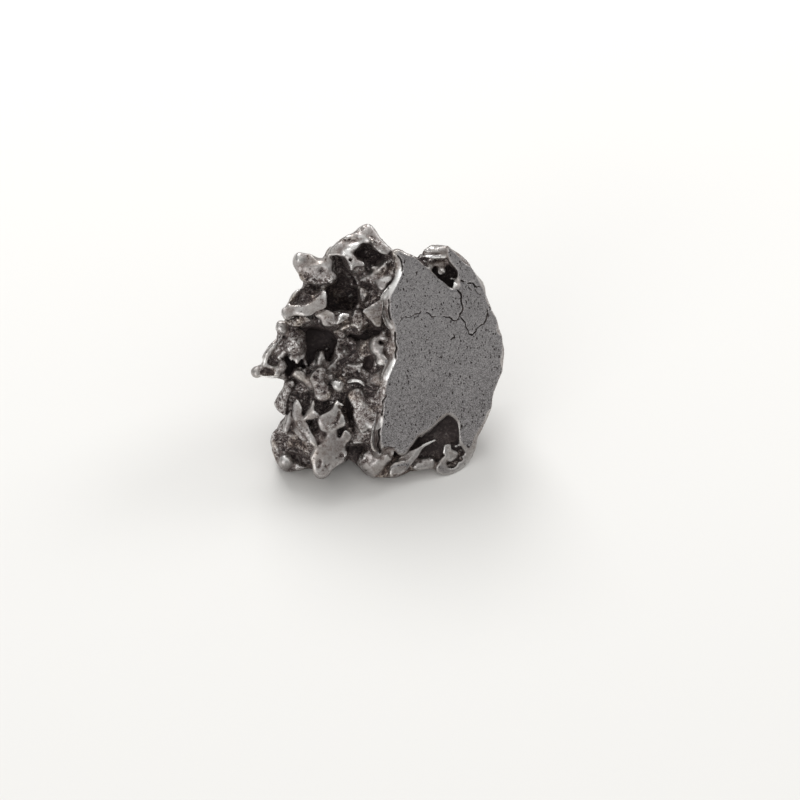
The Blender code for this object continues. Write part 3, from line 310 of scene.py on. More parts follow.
                 (-7.3, -1.15), (-8.0, -0.9), (-8.3, -0.2), (-8.5, 0.6), (-8.6, 1.5), (-8.5, 2.3),
                 (-7.9, 3.1), (-7.1, 3.4), (-6.6, 4.0), (-6.3, 4.7)],
        front=(6.2, -0.15, 0.2), thick=3.6, crown=0.3, span=0.9, polish_and_painted_light=(0.82, 0.92)),
    "corner": dict(
        outline=[(-12.2, 6.9), (-12.7, 6.0), (-13.2, 5.4), (-13.7, 5.0), (-13.95, 4.4), (-13.85, 3.3),
                 (-13.7, 2.4), (-13.2, 1.5), (-12.8, 0.8), (-12.2, 0.1), (-11.4, -0.15), (-10.6, 0.1),
                 (-9.6, 0.1), (-8.6, 0.1), (-8.0, 1.0), (-8.0, 2.8), (-8.5, 4.6), (-9.5, 6.4), (-10.8, 7.4)],
        front=(2.9, 0.1, 0.5), thick=4.0, crown=-0.2, polish_and_painted_light=(0.5, 0.15)),
    "cheek": dict(
        outline=[(2.1, 13.9), (1.1, 13.75), (0.3, 13.45), (-0.3, 12.9), (-0.8, 12.1), (-1.1, 11.6), (-1.5, 11.3),
                 (-0.9, 11.2), (-0.2, 11.15), (0.5, 11.0), (0.9, 10.4), (1.3, 10.2)],
        front=(7.95, 0.5, 0.2), thick=3.5, crown=0.1, polish_and_painted_light=(0.6, 0.6)),
    "cheek_low": dict(
        outline=[(1.1, 10.8), (0.1, 10.6), (-0.8, 10.0), (-1.2, 8.9), (-0.8, 8.0), (0.1, 7.2), (0.5, 6.6),
                 (1.0, 6.6)],
        front=(7.2, 0.6, 0.35), thick=3.0, polish_and_painted_light=(0.1, 0.0)),
    "post": dict(
        outline=[(-0.6, 17.6), (0.1, 17.95), (0.75, 17.8), (0.55, 17.2), (0.5, 16.8), (0.9, 16.55),
                 (1.4, 16.5), (1.15, 15.9), (1.1, 15.4), (1.6, 15.0), (1.95, 14.3), (1.0, 14.0),
                 (0.3, 13.85), (0.1, 14.6), (-0.1, 15.2), (-0.6, 15.5), (-0.8, 16.4)],
        front=(9.6, 0.25, 0.15), thick=3.6, crown=0.4, span=0.4, polish_and_painted_light=(0.95, 0.75)),
    "post_side": dict(
        outline=[(1.4, 17.2), (2.2, 17.9), (2.5, 17.5), (2.45, 15.3), (2.1, 14.6), (1.6, 15.2), (1.3, 15.8),
                 (1.5, 16.4)],
        front=(9.2, 0.5, 0.2), thick=3.0, polish_and_painted_light=(0.5, 0.3)),
    "pale_plate": dict(
        outline=[(-3.2, 10.75), (-2.5, 10.95), (-1.8, 10.8), (-1.4, 10.1), (-1.3, 9.3), (-0.9, 8.6),
                 (-0.3, 8.0), (0.3, 7.5), (0.5, 6.8), (0.3, 6.0), (-0.3, 5.5), (-0.9, 5.4), (-1.9, 4.7),
                 (-2.4, 5.4), (-2.6, 6.1), (-3.0, 6.8), (-3.0, 7.6), (-2.8, 8.3), (-3.3, 8.8),
                 (-3.8, 9.4), (-3.9, 10.1)],
        front=(7.4, 0.12, 0.22), thick=2.6, crown=0.15, span=0.6, polish_and_painted_light=(0.45, 0.5)),
    "foot": dict(
        outline=[(-2.2, 0.7), (-2.0, 1.2), (-1.5, 1.9), (-1.0, 2.45), (-0.5, 2.75), (0.2, 2.5), (0.9, 2.5),
                 (1.4, 3.0), (2.0, 3.1), (2.5, 3.0), (2.65, 2.5), (2.5, 1.8), (2.15, 1.15), (1.5, 0.75),
                 (1.0, 0.1), (0.5, -0.5), (0.0, -0.9), (-0.8, -0.95), (-1.5, -0.35), (-2.1, 0.2)],
        front=(3.7, 0.35, 0.3), thick=4.9, crown=1.3, span=1.1, soft=0.3, polish_and_painted_light=(1.0, 1.0)),
    "lip": dict(
        outline=[(-3.1, 4.1), (-2.5, 4.3), (-1.9, 4.9), (-0.7, 5.1), (-0.3, 4.6), (-0.5, 3.4), (-1.4, 3.2),
                 (-3.0, 3.2)],
        front=(5.0, 0.1, 0.3), thick=3.0, polish_and_painted_light=(0.6, 0.3)),
}

LUMPS = {
    "flap_knob": ((-10.25, 28.2, 10.6), (0.8, 0.95, 0.9), (10, 0, 0), 1.0),
    "lobe": ((-12.4, 18.9, 7.8), (0.8, 1.1, 1.2), (20, 0, 0), 0.85),
    "nodule": ((-10.5, 17.1, 7.5), (1.5, 1.7, 1.2), (0, 0, 0), 0.2),
    "nodule_side": ((-11.1, 18.2, 7.3), (0.7, 0.7, 1.0), (0, 0, 0), 0.3),
    # The knob's polish of 1.1 paints a faint highlight into its colour.
    "knob": ((-4.95, 11.35, 8.7), (0.85, 0.97, 0.95), (10, 0, 0), 1.1),
    "small_side": ((-5.95, 12.4, 7.4), (0.55, 0.6, 0.9), (0, 0, 0), 0.6),
    "bead_a": ((1.0, 18.3, 9.3), (0.4, 0.4, 0.6), (0, 0, 0), 0.5),
    "bead_b": ((1.25, 17.45, 9.6), (0.35, 0.3, 0.5), (0, 0, 0), 0.5),
    "mid_bead": ((-3.9, 15.5, 6.4), (0.45, 0.5, 0.7), (0, 0, 0), 0.4),
    "left_bead": ((-7.4, 4.4, 5.4), (0.75, 0.75, 0.9), (0, 0, 0), 0.45),
    "low_bright": ((-11.8, 1.3, 2.6), (1.1, 0.9, 1.0), (35, 0, 0), 0.95),
    "low_a": ((-12.2, 0.6, 1.8), (0.8, 0.6, 0.8), (0, 0, 0), 0.8),
    "low_b": ((-10.3, 0.55, 1.8), (0.6, 0.45, 0.8), (0, 0, 0), 0.4),
    "low_c": ((-9.4, 0.4, 1.9), (0.7, 0.35, 0.8), (0, 0, 0), 0.5),
    "horn_bead_a": ((-13.2, 13.45, 6.9), (0.35, 0.3, 0.4), (0, 0, 0), 0.8),
    "horn_bead_b": ((-12.4, 13.55, 6.8), (0.4, 0.35, 0.5), (0, 0, 0), 0.7),
    "horn_bead_c": ((-12.9, 12.75, 6.9), (0.35, 0.2, 0.4), (0, 0, 0), 0.9),
    "wall_bead": ((-0.2, 26.95, 10.6), (0.45, 0.28, 0.5), (10, 0, 0), 0.9),
}

HORNS = {
    "leaf_rim": ([(-10.55, 12.9, 7.3, 0.18), (-9.9, 12.3, 7.2, 0.2), (-9.0, 11.7, 6.9, 0.22),
                  (-8.5, 11.2, 6.9, 0.2)], 0.8),
    "mid_shine": ([(-3.7, 14.0, 7.3, 0.1), (-2.6, 13.75, 7.6, 0.16), (-1.7, 14.0, 7.9, 0.12)], 0.75),
    "mid_rise": ([(-4.6, 12.9, 6.3, 0.4), (-3.0, 13.3, 7.0, 0.4), (-1.4, 13.0, 7.5, 0.3)], 0.25),
    "mid_ring": ([(-4.3, 15.2, 6.6, 0.2), (-4.0, 15.8, 6.8, 0.2), (-3.5, 15.5, 6.9, 0.2)], 0.3),
    "left_ridges": ([(-5.3, 16.8, 6.2, 0.25), (-5.0, 15.9, 6.3, 0.25), (-4.8, 14.9, 6.3, 0.25)], 0.25),
    "mid_slant": ([(-2.3, 14.9, 6.8, 0.3), (-1.9, 16.0, 7.4, 0.3), (-1.0, 17.0, 8.2, 0.35)], 0.3),
    "arc": ([(-3.7, 11.6, 7.5, 0.13), (-3.0, 11.9, 7.7, 0.17), (-2.3, 11.85, 7.8, 0.17),
             (-1.8, 11.5, 7.8, 0.15), (-1.5, 11.2, 7.8, 0.1)], 1.0),
    "stalk": ([(-7.45, 14.2, 6.1, 0.5), (-7.2, 15.1, 6.2, 0.5), (-7.5, 16.0, 6.0, 0.3)], 0.75),
    # Polish 1.4 here paints a highlight into the colour.
    "stalk_edge": ([(-7.05, 15.6, 6.6, 0.14), (-6.65, 14.9, 6.6, 0.16)], 1.4),
    "thin_blade": ([(-6.2, 13.4, 6.3, 0.12), (-5.6, 14.0, 6.2, 0.13), (-5.1, 14.6, 6.1, 0.1)], 0.8),
    "wall_rib": ([(-0.3, 25.9, 10.1, 0.25), (0.4, 26.6, 10.8, 0.25), (1.3, 27.4, 11.2, 0.22)], 0.95),
    "wall_rib_side": ([(0.3, 25.4, 10.4, 0.2), (0.8, 26.3, 10.8, 0.18), (1.4, 26.9, 11.2, 0.16)], 0.6),
    "gap_sliver": ([(-3.1, 1.5, 2.9, 0.15), (-2.2, 0.6, 2.3, 0.15)], 0.7),
}

BARS = {
    "wing_rib": ([(-12.8, 15.0, 7.2, 0.12), (-11.8, 16.0, 7.5, 0.14)], 0.7),
    # Polish 1.35 here paints a highlight into the colour.
    "horn_base": ([(-15.0, 12.45, 6.7, 0.24), (-13.9, 12.42, 6.8, 0.22), (-12.8, 12.35, 6.8, 0.2)], 1.35),
    "horn_top": ([(-15.3, 13.8, 6.4, 0.3), (-14.5, 13.9, 6.8, 0.28), (-13.4, 13.5, 6.9, 0.22)], 0.9),
    "wing_ridge": ([(-12.7, 17.6, 7.9, 0.4), (-13.6, 16.6, 7.8, 0.42), (-14.3, 15.5, 7.4, 0.42),
                    (-14.6, 14.8, 7.1, 0.4), (-14.8, 14.1, 6.9, 0.42)], 0.95),
    "horn_knob": ([(-15.65, 12.95, 6.2, 0.82), (-15.2, 13.1, 6.2, 0.7)], 0.95),
}

# Hollows cut into the field. Where they cut, the polish is set to -0.4, which darkens the colour: partly the dark
# crust of the hollows, partly painted shade.
HOLLOW_LUMPS = {
    "middle": ((-6.6, 17.4, 8.6), (2.0, 0.9, 3.2), (0, 0, 0)),
    "post_shadow": ((-0.8, 14.2, 8.2), (0.65, 1.1, 1.9), (-15, 0, 0)),
    "gap_long": ((-3.35, 7.0, 6.5), (0.42, 2.3, 2.6), (12, 0, 0)),
    "under": ((-3.2, -0.4, 2.0), (1.4, 1.6, 6.0), (0, 0, 0)),
    "saddle": ((4.6, 30.9, 9.0), (1.9, 2.4, 9.0), (0, 0, 0)),
    "corner_pit": ((-10.25, 1.7, 3.2), (0.85, 0.6, 1.6), (-10, 0, 0)),
    "corner_pit_high": ((-10.6, 3.5, 4.4), (1.1, 0.35, 1.2), (-20, 0, 0)),
}
# Hollow plates. Their polish, mostly below nought, darkens the colour: partly the dark crust of the hollows, partly
# painted shade.
HOLLOW_LEDGES = {
    "gully": dict(
        outline=[(-5.45, 27.4), (-5.1, 28.0), (-4.5, 28.25), (-3.9, 27.6), (-3.4, 26.7), (-2.9, 26.0),
                 (-2.5, 25.2), (-2.3, 24.3), (-2.2, 23.2), (-2.3, 22.4), (-2.9, 21.6), (-3.4, 21.15),
                 (-4.4, 21.2), (-5.6, 21.25), (-6.2, 21.6), (-6.3, 22.6), (-6.35, 23.8), (-5.6, 24.4),
                 (-5.05, 25.0), (-5.1, 25.6), (-5.6, 26.3)],
        front=(13.5, 0.0, 0.65), thick=7.2, taper=0.0, polish_and_painted_light=(-0.28, -0.28)),
    "peak_hole": dict(
        outline=[(-2.65, 28.8), (-2.3, 29.2), (-1.7, 29.75), (-1.3, 30.05), (-0.7, 29.7), (0.0, 29.15),
                 (0.7, 28.75), (1.1, 28.5), (0.9, 28.1), (0.3, 27.8), (-0.5, 27.6), (-1.3, 27.9),
                 (-2.2, 28.1), (-2.6, 28.4)],
        front=(14.0, 0.0, -0.3), thick=5.5, taper=0.0, polish_and_painted_light=(-0.5, -0.5)),
    "cave": dict(
        outline=[(-9.1, 18.7), (-8.0, 18.9), (-6.5, 18.6), (-5.6, 18.3), (-5.3, 17.6), (-4.9, 17.2),
                 (-5.4, 16.4), (-5.5, 15.2), (-5.9, 14.4), (-6.6, 14.4), (-6.7, 15.2), (-7.0, 16.0),
                 (-7.6, 16.3), (-8.0, 15.9), (-8.1, 14.6), (-8.3, 13.9), (-9.0, 13.8), (-9.2, 14.6),
                 (-9.1, 15.6), (-9.25, 16.4), (-9.2, 17.4)],
        front=(12.5, 0.0, 0.0), thick=9.4, taper=0.0, polish_and_painted_light=(-0.6, -0.6)),
    "cave_right": dict(
        outline=[(-3.6, 18.2), (-2.4, 18.0), (-1.9, 18.1), (-1.2, 18.6), (0.3, 18.8), (0.9, 18.5),
                 (0.5, 18.0), (0.0, 17.9), (-0.7, 17.5), (-1.1, 17.0), (-1.9, 17.2), (-2.8, 17.2), (-3.4, 17.6)],
        front=(12.5, 0.0, 0.0), thick=7.4, taper=0.0, polish_and_painted_light=(-0.6, -0.6)),
    "left_cave": dict(
        outline=[(-12.4, 15.3), (-11.6, 15.6), (-11.1, 15.4), (-10.0, 15.5), (-9.3, 15.0), (-9.2, 14.0),
                 (-9.4, 13.4), (-10.2, 13.7), (-10.7, 13.2), (-10.9, 12.5), (-11.3, 12.3), (-11.9, 12.4),
                 (-12.2, 13.0), (-12.1, 14.0), (-12.2, 14.6)],
        front=(8.6, 0.0, 0.0), thick=6.0, taper=0.0, polish_and_painted_light=(-0.9, -0.9)),
    "gap_left": dict(
        outline=[(-10.3, 10.4), (-9.5, 10.1), (-8.4, 10.2), (-8.3, 9.5), (-8.8, 8.6), (-9.4, 7.5),
                 (-9.6, 8.2), (-9.9, 9.0), (-10.3, 9.5)],
        front=(9.0, 0.0, 0.0), thick=4.1, taper=0.0, polish_and_painted_light=(0.1, 0.1)),
    "gap_right": dict(
        outline=[(-8.05, 9.3), (-7.2, 9.2), (-6.3, 8.95), (-5.6, 9.3), (-5.9, 8.5), (-6.3, 8.0),
                 (-7.0, 7.65), (-7.5, 7.5), (-7.9, 8.0), (-8.1, 8.5)],
        front=(9.0, 0.0, 0.0), thick=4.5, taper=0.0, polish_and_painted_light=(-0.1, -0.1)),
    "gap_low": dict(
        outline=[(-3.75, 3.3), (-3.0, 3.2), (-1.6, 3.3), (-0.9, 2.9), (-1.5, 2.3), (-2.0, 1.6),
                 (-2.3, 0.7), (-3.0, 0.2), (-3.9, 0.4), (-3.9, 1.3), (-3.6, 2.2)],
        front=(9.0, 0.0, 0.0), thick=7.5, taper=0.0, polish_and_painted_light=(-0.4, -0.4)),
    "lower_notch": dict(
        outline=[(9.66, 7.35), (9.1, 6.95), (8.5, 6.3), (7.9, 5.6), (7.2, 5.0), (6.5, 4.6), (6.05, 4.15), (5.85, 4.6),
                 (5.5, 4.05), (5.0, 3.4), (4.5, 2.85), (4.1, 2.25), (3.7, 1.9), (3.0, 1.75), (2.75, 2.4),
                 (2.5, 1.6), (2.1, 1.1), (1.2, 0.3), (0.6, -0.6), (1.0, -1.6), (7.9, -1.6), (8.0, -0.2), (8.0, 0.6),
                 (8.6, 1.1), (9.2, 1.0), (9.5, 0.5), (9.7, 0.3), (10.1, 0.25), (10.75, 0.95), (11.1, 1.4),
                 (11.6, 1.4), (12.0, 1.7), (12.1, 2.3), (11.9, 2.5), (11.5, 2.7), (11.3, 3.3), (11.1, 3.7),
                 (11.05, 4.2), (11.05, 5.4), (10.95, 6.25), (10.4, 6.8)],
        front=(9.0, 0.0, 0.0), thick=9.2, taper=0.0, soft=0.15, polish_and_painted_light=(-0.5, -0.5)),
    "upper_notch": dict(
        outline=[(5.6, 28.1), (6.5, 27.35), (7.2, 26.75), (8.2, 25.75), (9.2, 24.95), (10.3, 24.15),
                 (10.5, 24.5), (10.45, 24.95), (10.6, 25.4), (10.95, 25.8), (10.9, 26.5), (10.3, 27.3),
                 (9.7, 28.0), (9.5, 29.2), (9.4, 30.6), (5.2, 30.6)],
        front=(12.8, *SAW_SLOPE), thick=4.6, taper=0.0, soft=0.15, polish_and_painted_light=(-0.4, -0.4)),
}

NOTCH_LEDGES = {
    "sill": dict(
        outline=[(0.2, -0.9), (2.2, -1.0), (3.2, -0.8), (4.6, -0.3), (6.0, 0.0), (7.4, 0.05), (8.0, 0.4),
                 (8.0, 1.3), (7.6, 1.7), (6.4, 1.6), (5.4, 1.5), (4.4, 1.3), (3.2, 1.0), (2.4, 1.2), (1.6, 0.8)],
        front=(1.9, -0.25, 0.2), thick=3.5, polish_and_painted_light=(0.5, 0.25)),
    # The band's rim polish of 1.1 paints a faint highlight into its colour.
    "band": dict(
        outline=[(2.0, 0.4), (2.6, 1.25), (3.3, 1.8), (4.2, 2.3), (5.0, 2.75), (5.6, 3.1), (6.2, 3.4),
                 (6.9, 3.7), (7.6, 4.05), (8.3, 4.3), (8.3, 4.05), (7.7, 3.7), (7.0, 3.25), (6.4, 2.8),
                 (5.9, 2.3), (5.6, 1.8), (5.1, 1.2), (4.7, 0.5), (4.1, -0.1), (3.4, -0.6), (2.6, -0.9), (1.9, -0.9)],
        front=(3.1, -0.35, -0.05), thick=3.5, crown=0.2, span=0.3, soft=0.15, polish_and_painted_light=(1.1, 0.9)),
    "sill_lobe": dict(
        outline=[(4.6, 0.1), (5.2, 1.1), (5.8, 1.6), (6.6, 1.75), (7.4, 1.9), (7.95, 1.65), (8.05, 0.9),
                 (7.8, 0.3), (7.3, 0.0), (6.2, -0.05), (5.2, -0.1)],
        front=(1.9, -0.25, -0.1), thick=3.0, crown=0.5, span=0.4, soft=0.3, polish_and_painted_light=(1.0, 0.85)),
}
NOTCH_LUMPS = {
    "cluster_a": ((9.65, 2.95, 1.2), (0.45, 0.75, 0.9), (8, 0, 0), 0.5),
    "cluster_b": ((10.75, 3.2, 0.9), (0.5, 0.4, 0.8), (15, 0, 0), 0.6),
    "cluster_c": ((10.45, 2.45, 0.7), (0.7, 0.35, 0.8), (-20, 0, 0), 0.65),
    "cluster_d": ((9.9, 1.7, 0.3), (0.95, 0.6, 0.9), (0, 0, 0), 0.25),
    "cluster_e": ((11.75, 1.85, 0.2), (0.3, 0.3, 0.6), (0, 0, 0), 0.6),
    "cluster_f": ((9.05, 1.25, 0.8), (0.5, 0.4, 0.7), (20, 0, 0), 0.55),
    "cluster_g": ((10.0, 1.35, 0.9), (0.35, 0.3, 0.5), (0, 0, 0), 0.55),
    "notch_end": ((2.85, 1.6, 2.0), (0.8, 1.0, 1.3), (0, 0, 0), 0.1),
    "cluster_h": ((8.65, 0.4, 0.9), (0.75, 0.6, 0.9), (0, 0, 0), 1.0),
    "upper_a": ((8.7, 26.45, 10.3), (0.62, 0.58, 0.8), (0, 0, 0), 0.75),
    "upper_b": ((7.3, 27.1, 10.9), (0.5, 0.6, 0.8), (0, 0, 0), 0.6),
    "upper_c": ((6.5, 27.75, 11.2), (0.6, 0.4, 0.8), (0, 0, 0), 0.5),
    "upper_d": ((8.2, 27.6, 9.8), (1.2, 0.6, 1.0), (0, 0, 0), 0.15),
    "upper_e": ((10.2, 25.45, 9.6), (0.25, 0.2, 0.4), (0, 0, 0), 0.8),
    # Polish 1.7 here paints a highlight into the colour.
    "upper_lip": ((10.82, 24.62, 9.35), (0.44, 0.64, 0.56), (-5, 0, 0), 1.7),
}
NOTCH_HORNS = {}
NOTCH_BARS = {
    "hook": ([(-10.35, 14.3, 7.0, 0.24), (-10.25, 14.75, 7.0, 0.27), (-9.6, 15.0, 7.0, 0.2),
              (-9.4, 15.9, 7.0, 0.2)], 0.9),
    "bead": ([(-11.1, 15.0, 7.0, 0.38), (-11.0, 15.8, 7.1, 0.3)], 0.95),
    "cluster_arch": ([(9.15, 2.3, 1.5, 0.22), (9.3, 3.15, 1.6, 0.25), (9.9, 3.4, 1.6, 0.22), (10.1, 2.9, 1.6, 0.2)], 0.8),
    "cluster_right": ([(10.5, 2.95, 1.4, 0.25), (11.1, 3.25, 1.6, 0.3), (11.75, 2.75, 1.6, 0.25),
                       (12.1, 2.1, 1.3, 0.25)], 0.85),
    "cluster_low": ([(8.5, 1.0, 1.3, 0.3), (9.2, 1.4, 1.5, 0.3), (9.6, 1.9, 1.5, 0.22), (10.3, 1.5, 1.5, 0.28),
                     (11.0, 1.75, 1.5, 0.25), (11.5, 1.3, 1.3, 0.22)], 0.7),
    "rim_lobe": ([(6.9, 28.9, 11.3, 0.8), (7.7, 29.0, 11.3, 0.95), (8.9, 28.95, 11.1, 0.95)], 0.8),
    # Polish 1.6 here paints a highlight into the colour.
    "rim_stripe": ([(6.3, 28.35, 12.05, 0.24), (7.6, 28.38, 12.2, 0.27), (9.2, 28.33, 11.65, 0.27)], 1.6),
}

# Lines drawn on what the eye sees: points, width, height (below nought is a groove), polish or None. Polish above
# 1.05 paints a highlight into the colour; below nought it gives a darker colour, partly crust and partly painted
# shade.
STROKES = [
    ([(-9.4, 26.85), (-8.0, 26.9), (-7.0, 27.2), (-6.1, 26.9)], 0.34, 0.2, 1.0),
    ([(-10.0, 25.6), (-8.5, 25.2), (-7.0, 25.1), (-5.9, 25.1)], 0.5, -0.08, 0.3),
    ([(-9.9, 26.0), (-9.0, 25.4), (-8.4, 25.2)], 0.14, -0.2, 0.0),
    ([(-8.6, 25.7), (-8.0, 25.0), (-7.6, 24.6)], 0.14, -0.2, 0.0),
    ([(-7.2, 25.3), (-6.6, 24.8)], 0.14, -0.15, 0.2),
    ([(-9.9, 26.1), (-10.3, 26.1)], 0.2, -0.2, 0.1),
    ([(-9.3, 25.9), (-8.5, 25.5)], 0.25, -0.3, 0.0),
    ([(-8.7, 25.3), (-8.0, 24.7)], 0.18, 0.2, 0.5),
    ([(-3.3, 31.35), (-2.4, 31.7), (-1.8, 32.0)], 0.2, -0.3, 0.2),
    ([(-4.6, 30.5), (-2.9, 30.6), (-2.1, 30.5), (-1.5, 30.15)], 0.14, -0.3, 0.1),
    ([(-1.1, 31.7), (-1.1, 31.3), (-1.25, 30.7)], 0.35, 0.12, 1.1),
    ([(-0.9, 31.0), (0.1, 30.9), (0.8, 30.3), (1.1, 29.9)], 0.16, -0.25, 0.1),
    ([(-0.9, 30.9), (-0.6, 30.2), (0.1, 29.4), (0.5, 29.0), (0.8, 29.3)], 0.16, 0.15, 0.8),
    ([(1.6, 28.4), (2.5, 28.0), (2.9, 27.1), (2.65, 26.2), (2.45, 25.4), (2.0, 24.4), (1.5, 23.6)],
     0.16, -0.35, 0.0),
    ([(0.2, 25.5), (0.8, 26.2), (1.2, 26.8)], 0.18, -0.4, 0.0),
    ([(-2.3, 24.9), (-1.2, 24.4), (-0.2, 24.2), (0.0, 23.2)], 0.3, -0.4, 0.0),
    ([(-0.1, 22.5), (0.5, 23.0), (1.2, 23.5)], 0.14, -0.3, 0.0),
    ([(-6.5, 23.5), (-7.0, 22.8), (-7.6, 22.2), (-8.4, 21.7), (-9.2, 21.4), (-10.0, 21.3), (-10.8, 21.4),
      (-11.5, 21.75), (-11.8, 22.1)], 0.13, 0.0, 1.2),
    ([(-6.9, 22.5), (-6.8, 22.2)], 0.2, -0.25, 0.3),
    ([(-4.9, 20.3), (-4.5, 20.6), (-4.1, 20.8), (-3.5, 20.7)], 0.28, 0.15, 1.6),
    ([(-4.2, 20.3), (-3.9, 20.4)], 0.12, -0.3, 0.2),
    ([(-5.9, 19.55), (-5.6, 19.25)], 0.14, -0.3, 0.1),
    ([(-5.25, 20.5), (-5.2, 19.9)], 0.12, -0.3, 0.2),
    ([(-10.95, 19.15), (-9.8, 19.15)], 0.16, 0.25, 0.9),
    ([(-12.95, 18.3), (-12.6, 17.75)], 0.2, -0.35, 0.2),
    ([(-15.0, 13.1), (-14.5, 13.3), (-13.9, 13.2), (-13.4, 12.95)], 0.32, -0.4, -0.6),
    ([(-14.9, 12.8), (-13.3, 12.75)], 0.16, -0.2, 0.05),
    ([(-4.9, 9.1), (-4.6, 8.7), (-4.1, 8.5)], 0.18, 0.2, 1.6),
    ([(-4.8, 8.3), (-4.4, 8.0)], 0.18, -0.45, 0.1),
    ([(-4.8, 7.5), (-4.9, 6.9), (-5.3, 6.2), (-5.9, 5.7)], 0.17, -0.5, 0.0),
    ([(-4.2, 7.1), (-4.0, 6.5), (-3.8, 6.0)], 0.14, 0.15, 1.6),
    ([(-5.6, 5.9), (-6.2, 5.8), (-6.5, 5.4)], 0.16, -0.25, 0.1),
    ([(-3.9, 5.3), (-3.4, 4.9), (-3.0, 4.4)], 0.2, 0.15, 1.5),
    ([(-3.85, 3.2), (-3.75, 2.6), (-3.7, 2.0)], 0.16, 0.12, 1.0),
    ([(-10.3, 9.1), (-9.9, 8.6), (-9.65, 8.1)], 0.16, 0.2, 1.6),
    ([(-8.1, 7.85), (-7.5, 7.35)], 0.2, 0.2, 1.6),
    ([(-13.5, 3.4), (-13.3, 3.0), (-13.0, 2.7)], 0.16, 0.15, 1.0),
    ([(-12.8, 2.35), (-12.4, 2.3)], 0.14, 0.15, 1.0),
    ([(-11.1, 3.3), (-10.5, 3.3), (-9.6, 2.8), (-8.9, 2.4)], 0.18, 0.25, 0.5),
    ([(-11.5, 4.6), (-10.5, 4.4)], 0.2, 0.2, 0.7),
    ([(0.9, 10.6), (0.3, 10.0), (-0.3, 9.3)], 0.2, 0.15, 0.4),
    ([(-2.4, 4.4), (-1.8, 4.9), (-0.7, 5.1)], 0.14, 0.15, 0.8),
    ([(-3.0, 3.6), (-1.6, 3.4)], 0.18, 0.2, 0.8),
    ([(0.0, 2.4), (0.4, 1.7)], 0.12, -0.12, 0.5),
    ([(1.0, 1.9), (0.9, 1.4), (1.2, 1.6)], 0.12, -0.15, 0.4),
    ([(-0.5, 1.6), (-0.3, 1.3)], 0.12, -0.15, 0.4),
    ([(2.8, -0.7), (1.0, -0.8), (0.2, -0.85)], 0.16, -0.3, 0.0),
    ([(4.1, 0.1), (4.7, 0.35), (5.0, 0.1)], 0.2, -0.2, 0.1),
    ([(6.3, 28.75), (7.2, 28.8), (8.9, 28.72)], 0.13, -0.45, 0.0),
    ([(10.95, 0.9), (11.4, 0.6)], 0.1, -0.2, 0.0),
    ([(8.1, -0.1), (8.7, -0.35)], 0.08, -0.15, 0.0),
    ([(-4.0, 28.8), (-3.2, 29.3), (-2.5, 29.8), (-1.8, 30.2)], 0.36, 0.3, 1.6),
    ([(-3.6, 28.9), (-3.3, 28.4)], 0.3, 0.0, 1.5),
    ([(-6.3, 28.2), (-5.5, 28.45), (-4.6, 28.6)], 0.2, 0.1, 0.95),
    ([(-2.6, 31.2), (-1.6, 31.1), (-1.0, 30.5)], 0.2, 0.12, 1.4),
    ([(0.0, 31.2), (0.8, 30.5), (1.5, 29.8)], 0.18, 0.1, 1.3),
    ([(-10.3, 28.3), (-10.0, 27.9), (-9.8, 27.5)], 0.4, 0.0, 1.15),
    ([(-6.75, 22.9), (-6.5, 23.6)], 0.18, 0.0, 1.6),
    ([(-12.1, 1.9), (-11.4, 1.5)], 0.35, 0.1, 1.35),
    ([(-2.2, 5.2), (-1.4, 5.2), (-0.7, 5.5)], 0.5, 0.0, 0.9),
    ([(0.1, 14.1), (0.9, 14.05)], 0.3, 0.1, 1.5),
    ([(0.5, 16.4), (0.7, 15.2)], 0.35, 0.0, 1.1),
    ([(0.6, 25.2), (1.7, 25.6)], 0.35, 0.0, 1.4),
    ([(1.0, 24.4), (1.3, 24.0)], 0.3, 0.0, 1.2),
    ([(-3.6, 11.7), (-2.6, 12.0), (-1.9, 11.6)], 0.2, 0.0, 1.7),
    ([(-1.1, 6.1), (-0.4, 5.6)], 0.35, 0.0, 1.4),
    ([(-14.9, 14.7), (-14.3, 14.1)], 0.25, 0.0, 1.4),
    ([(-9.6, 13.3), (-9.3, 12.9)], 0.14, 0.1, 1.5),
    ([(-4.7, 11.9), (-4.5, 11.5)], 0.25, 0.0, 1.6),
    ([(-10.2, 6.5), (-9.9, 5.6), (-9.55, 4.9)], 0.12, -0.4, 0.0),
    ([(-1.3, 2.2), (-0.7, 1.9), (-0.4, 1.5)], 0.4, 0.0, 1.0),
    ([(6.3, 3.2), (7.3, 3.7), (8.1, 4.1)], 0.15, 0.0, 1.5),
    ([(5.9, 1.5), (6.9, 1.7), (7.7, 1.5)], 0.2, 0.0, 1.0),
]
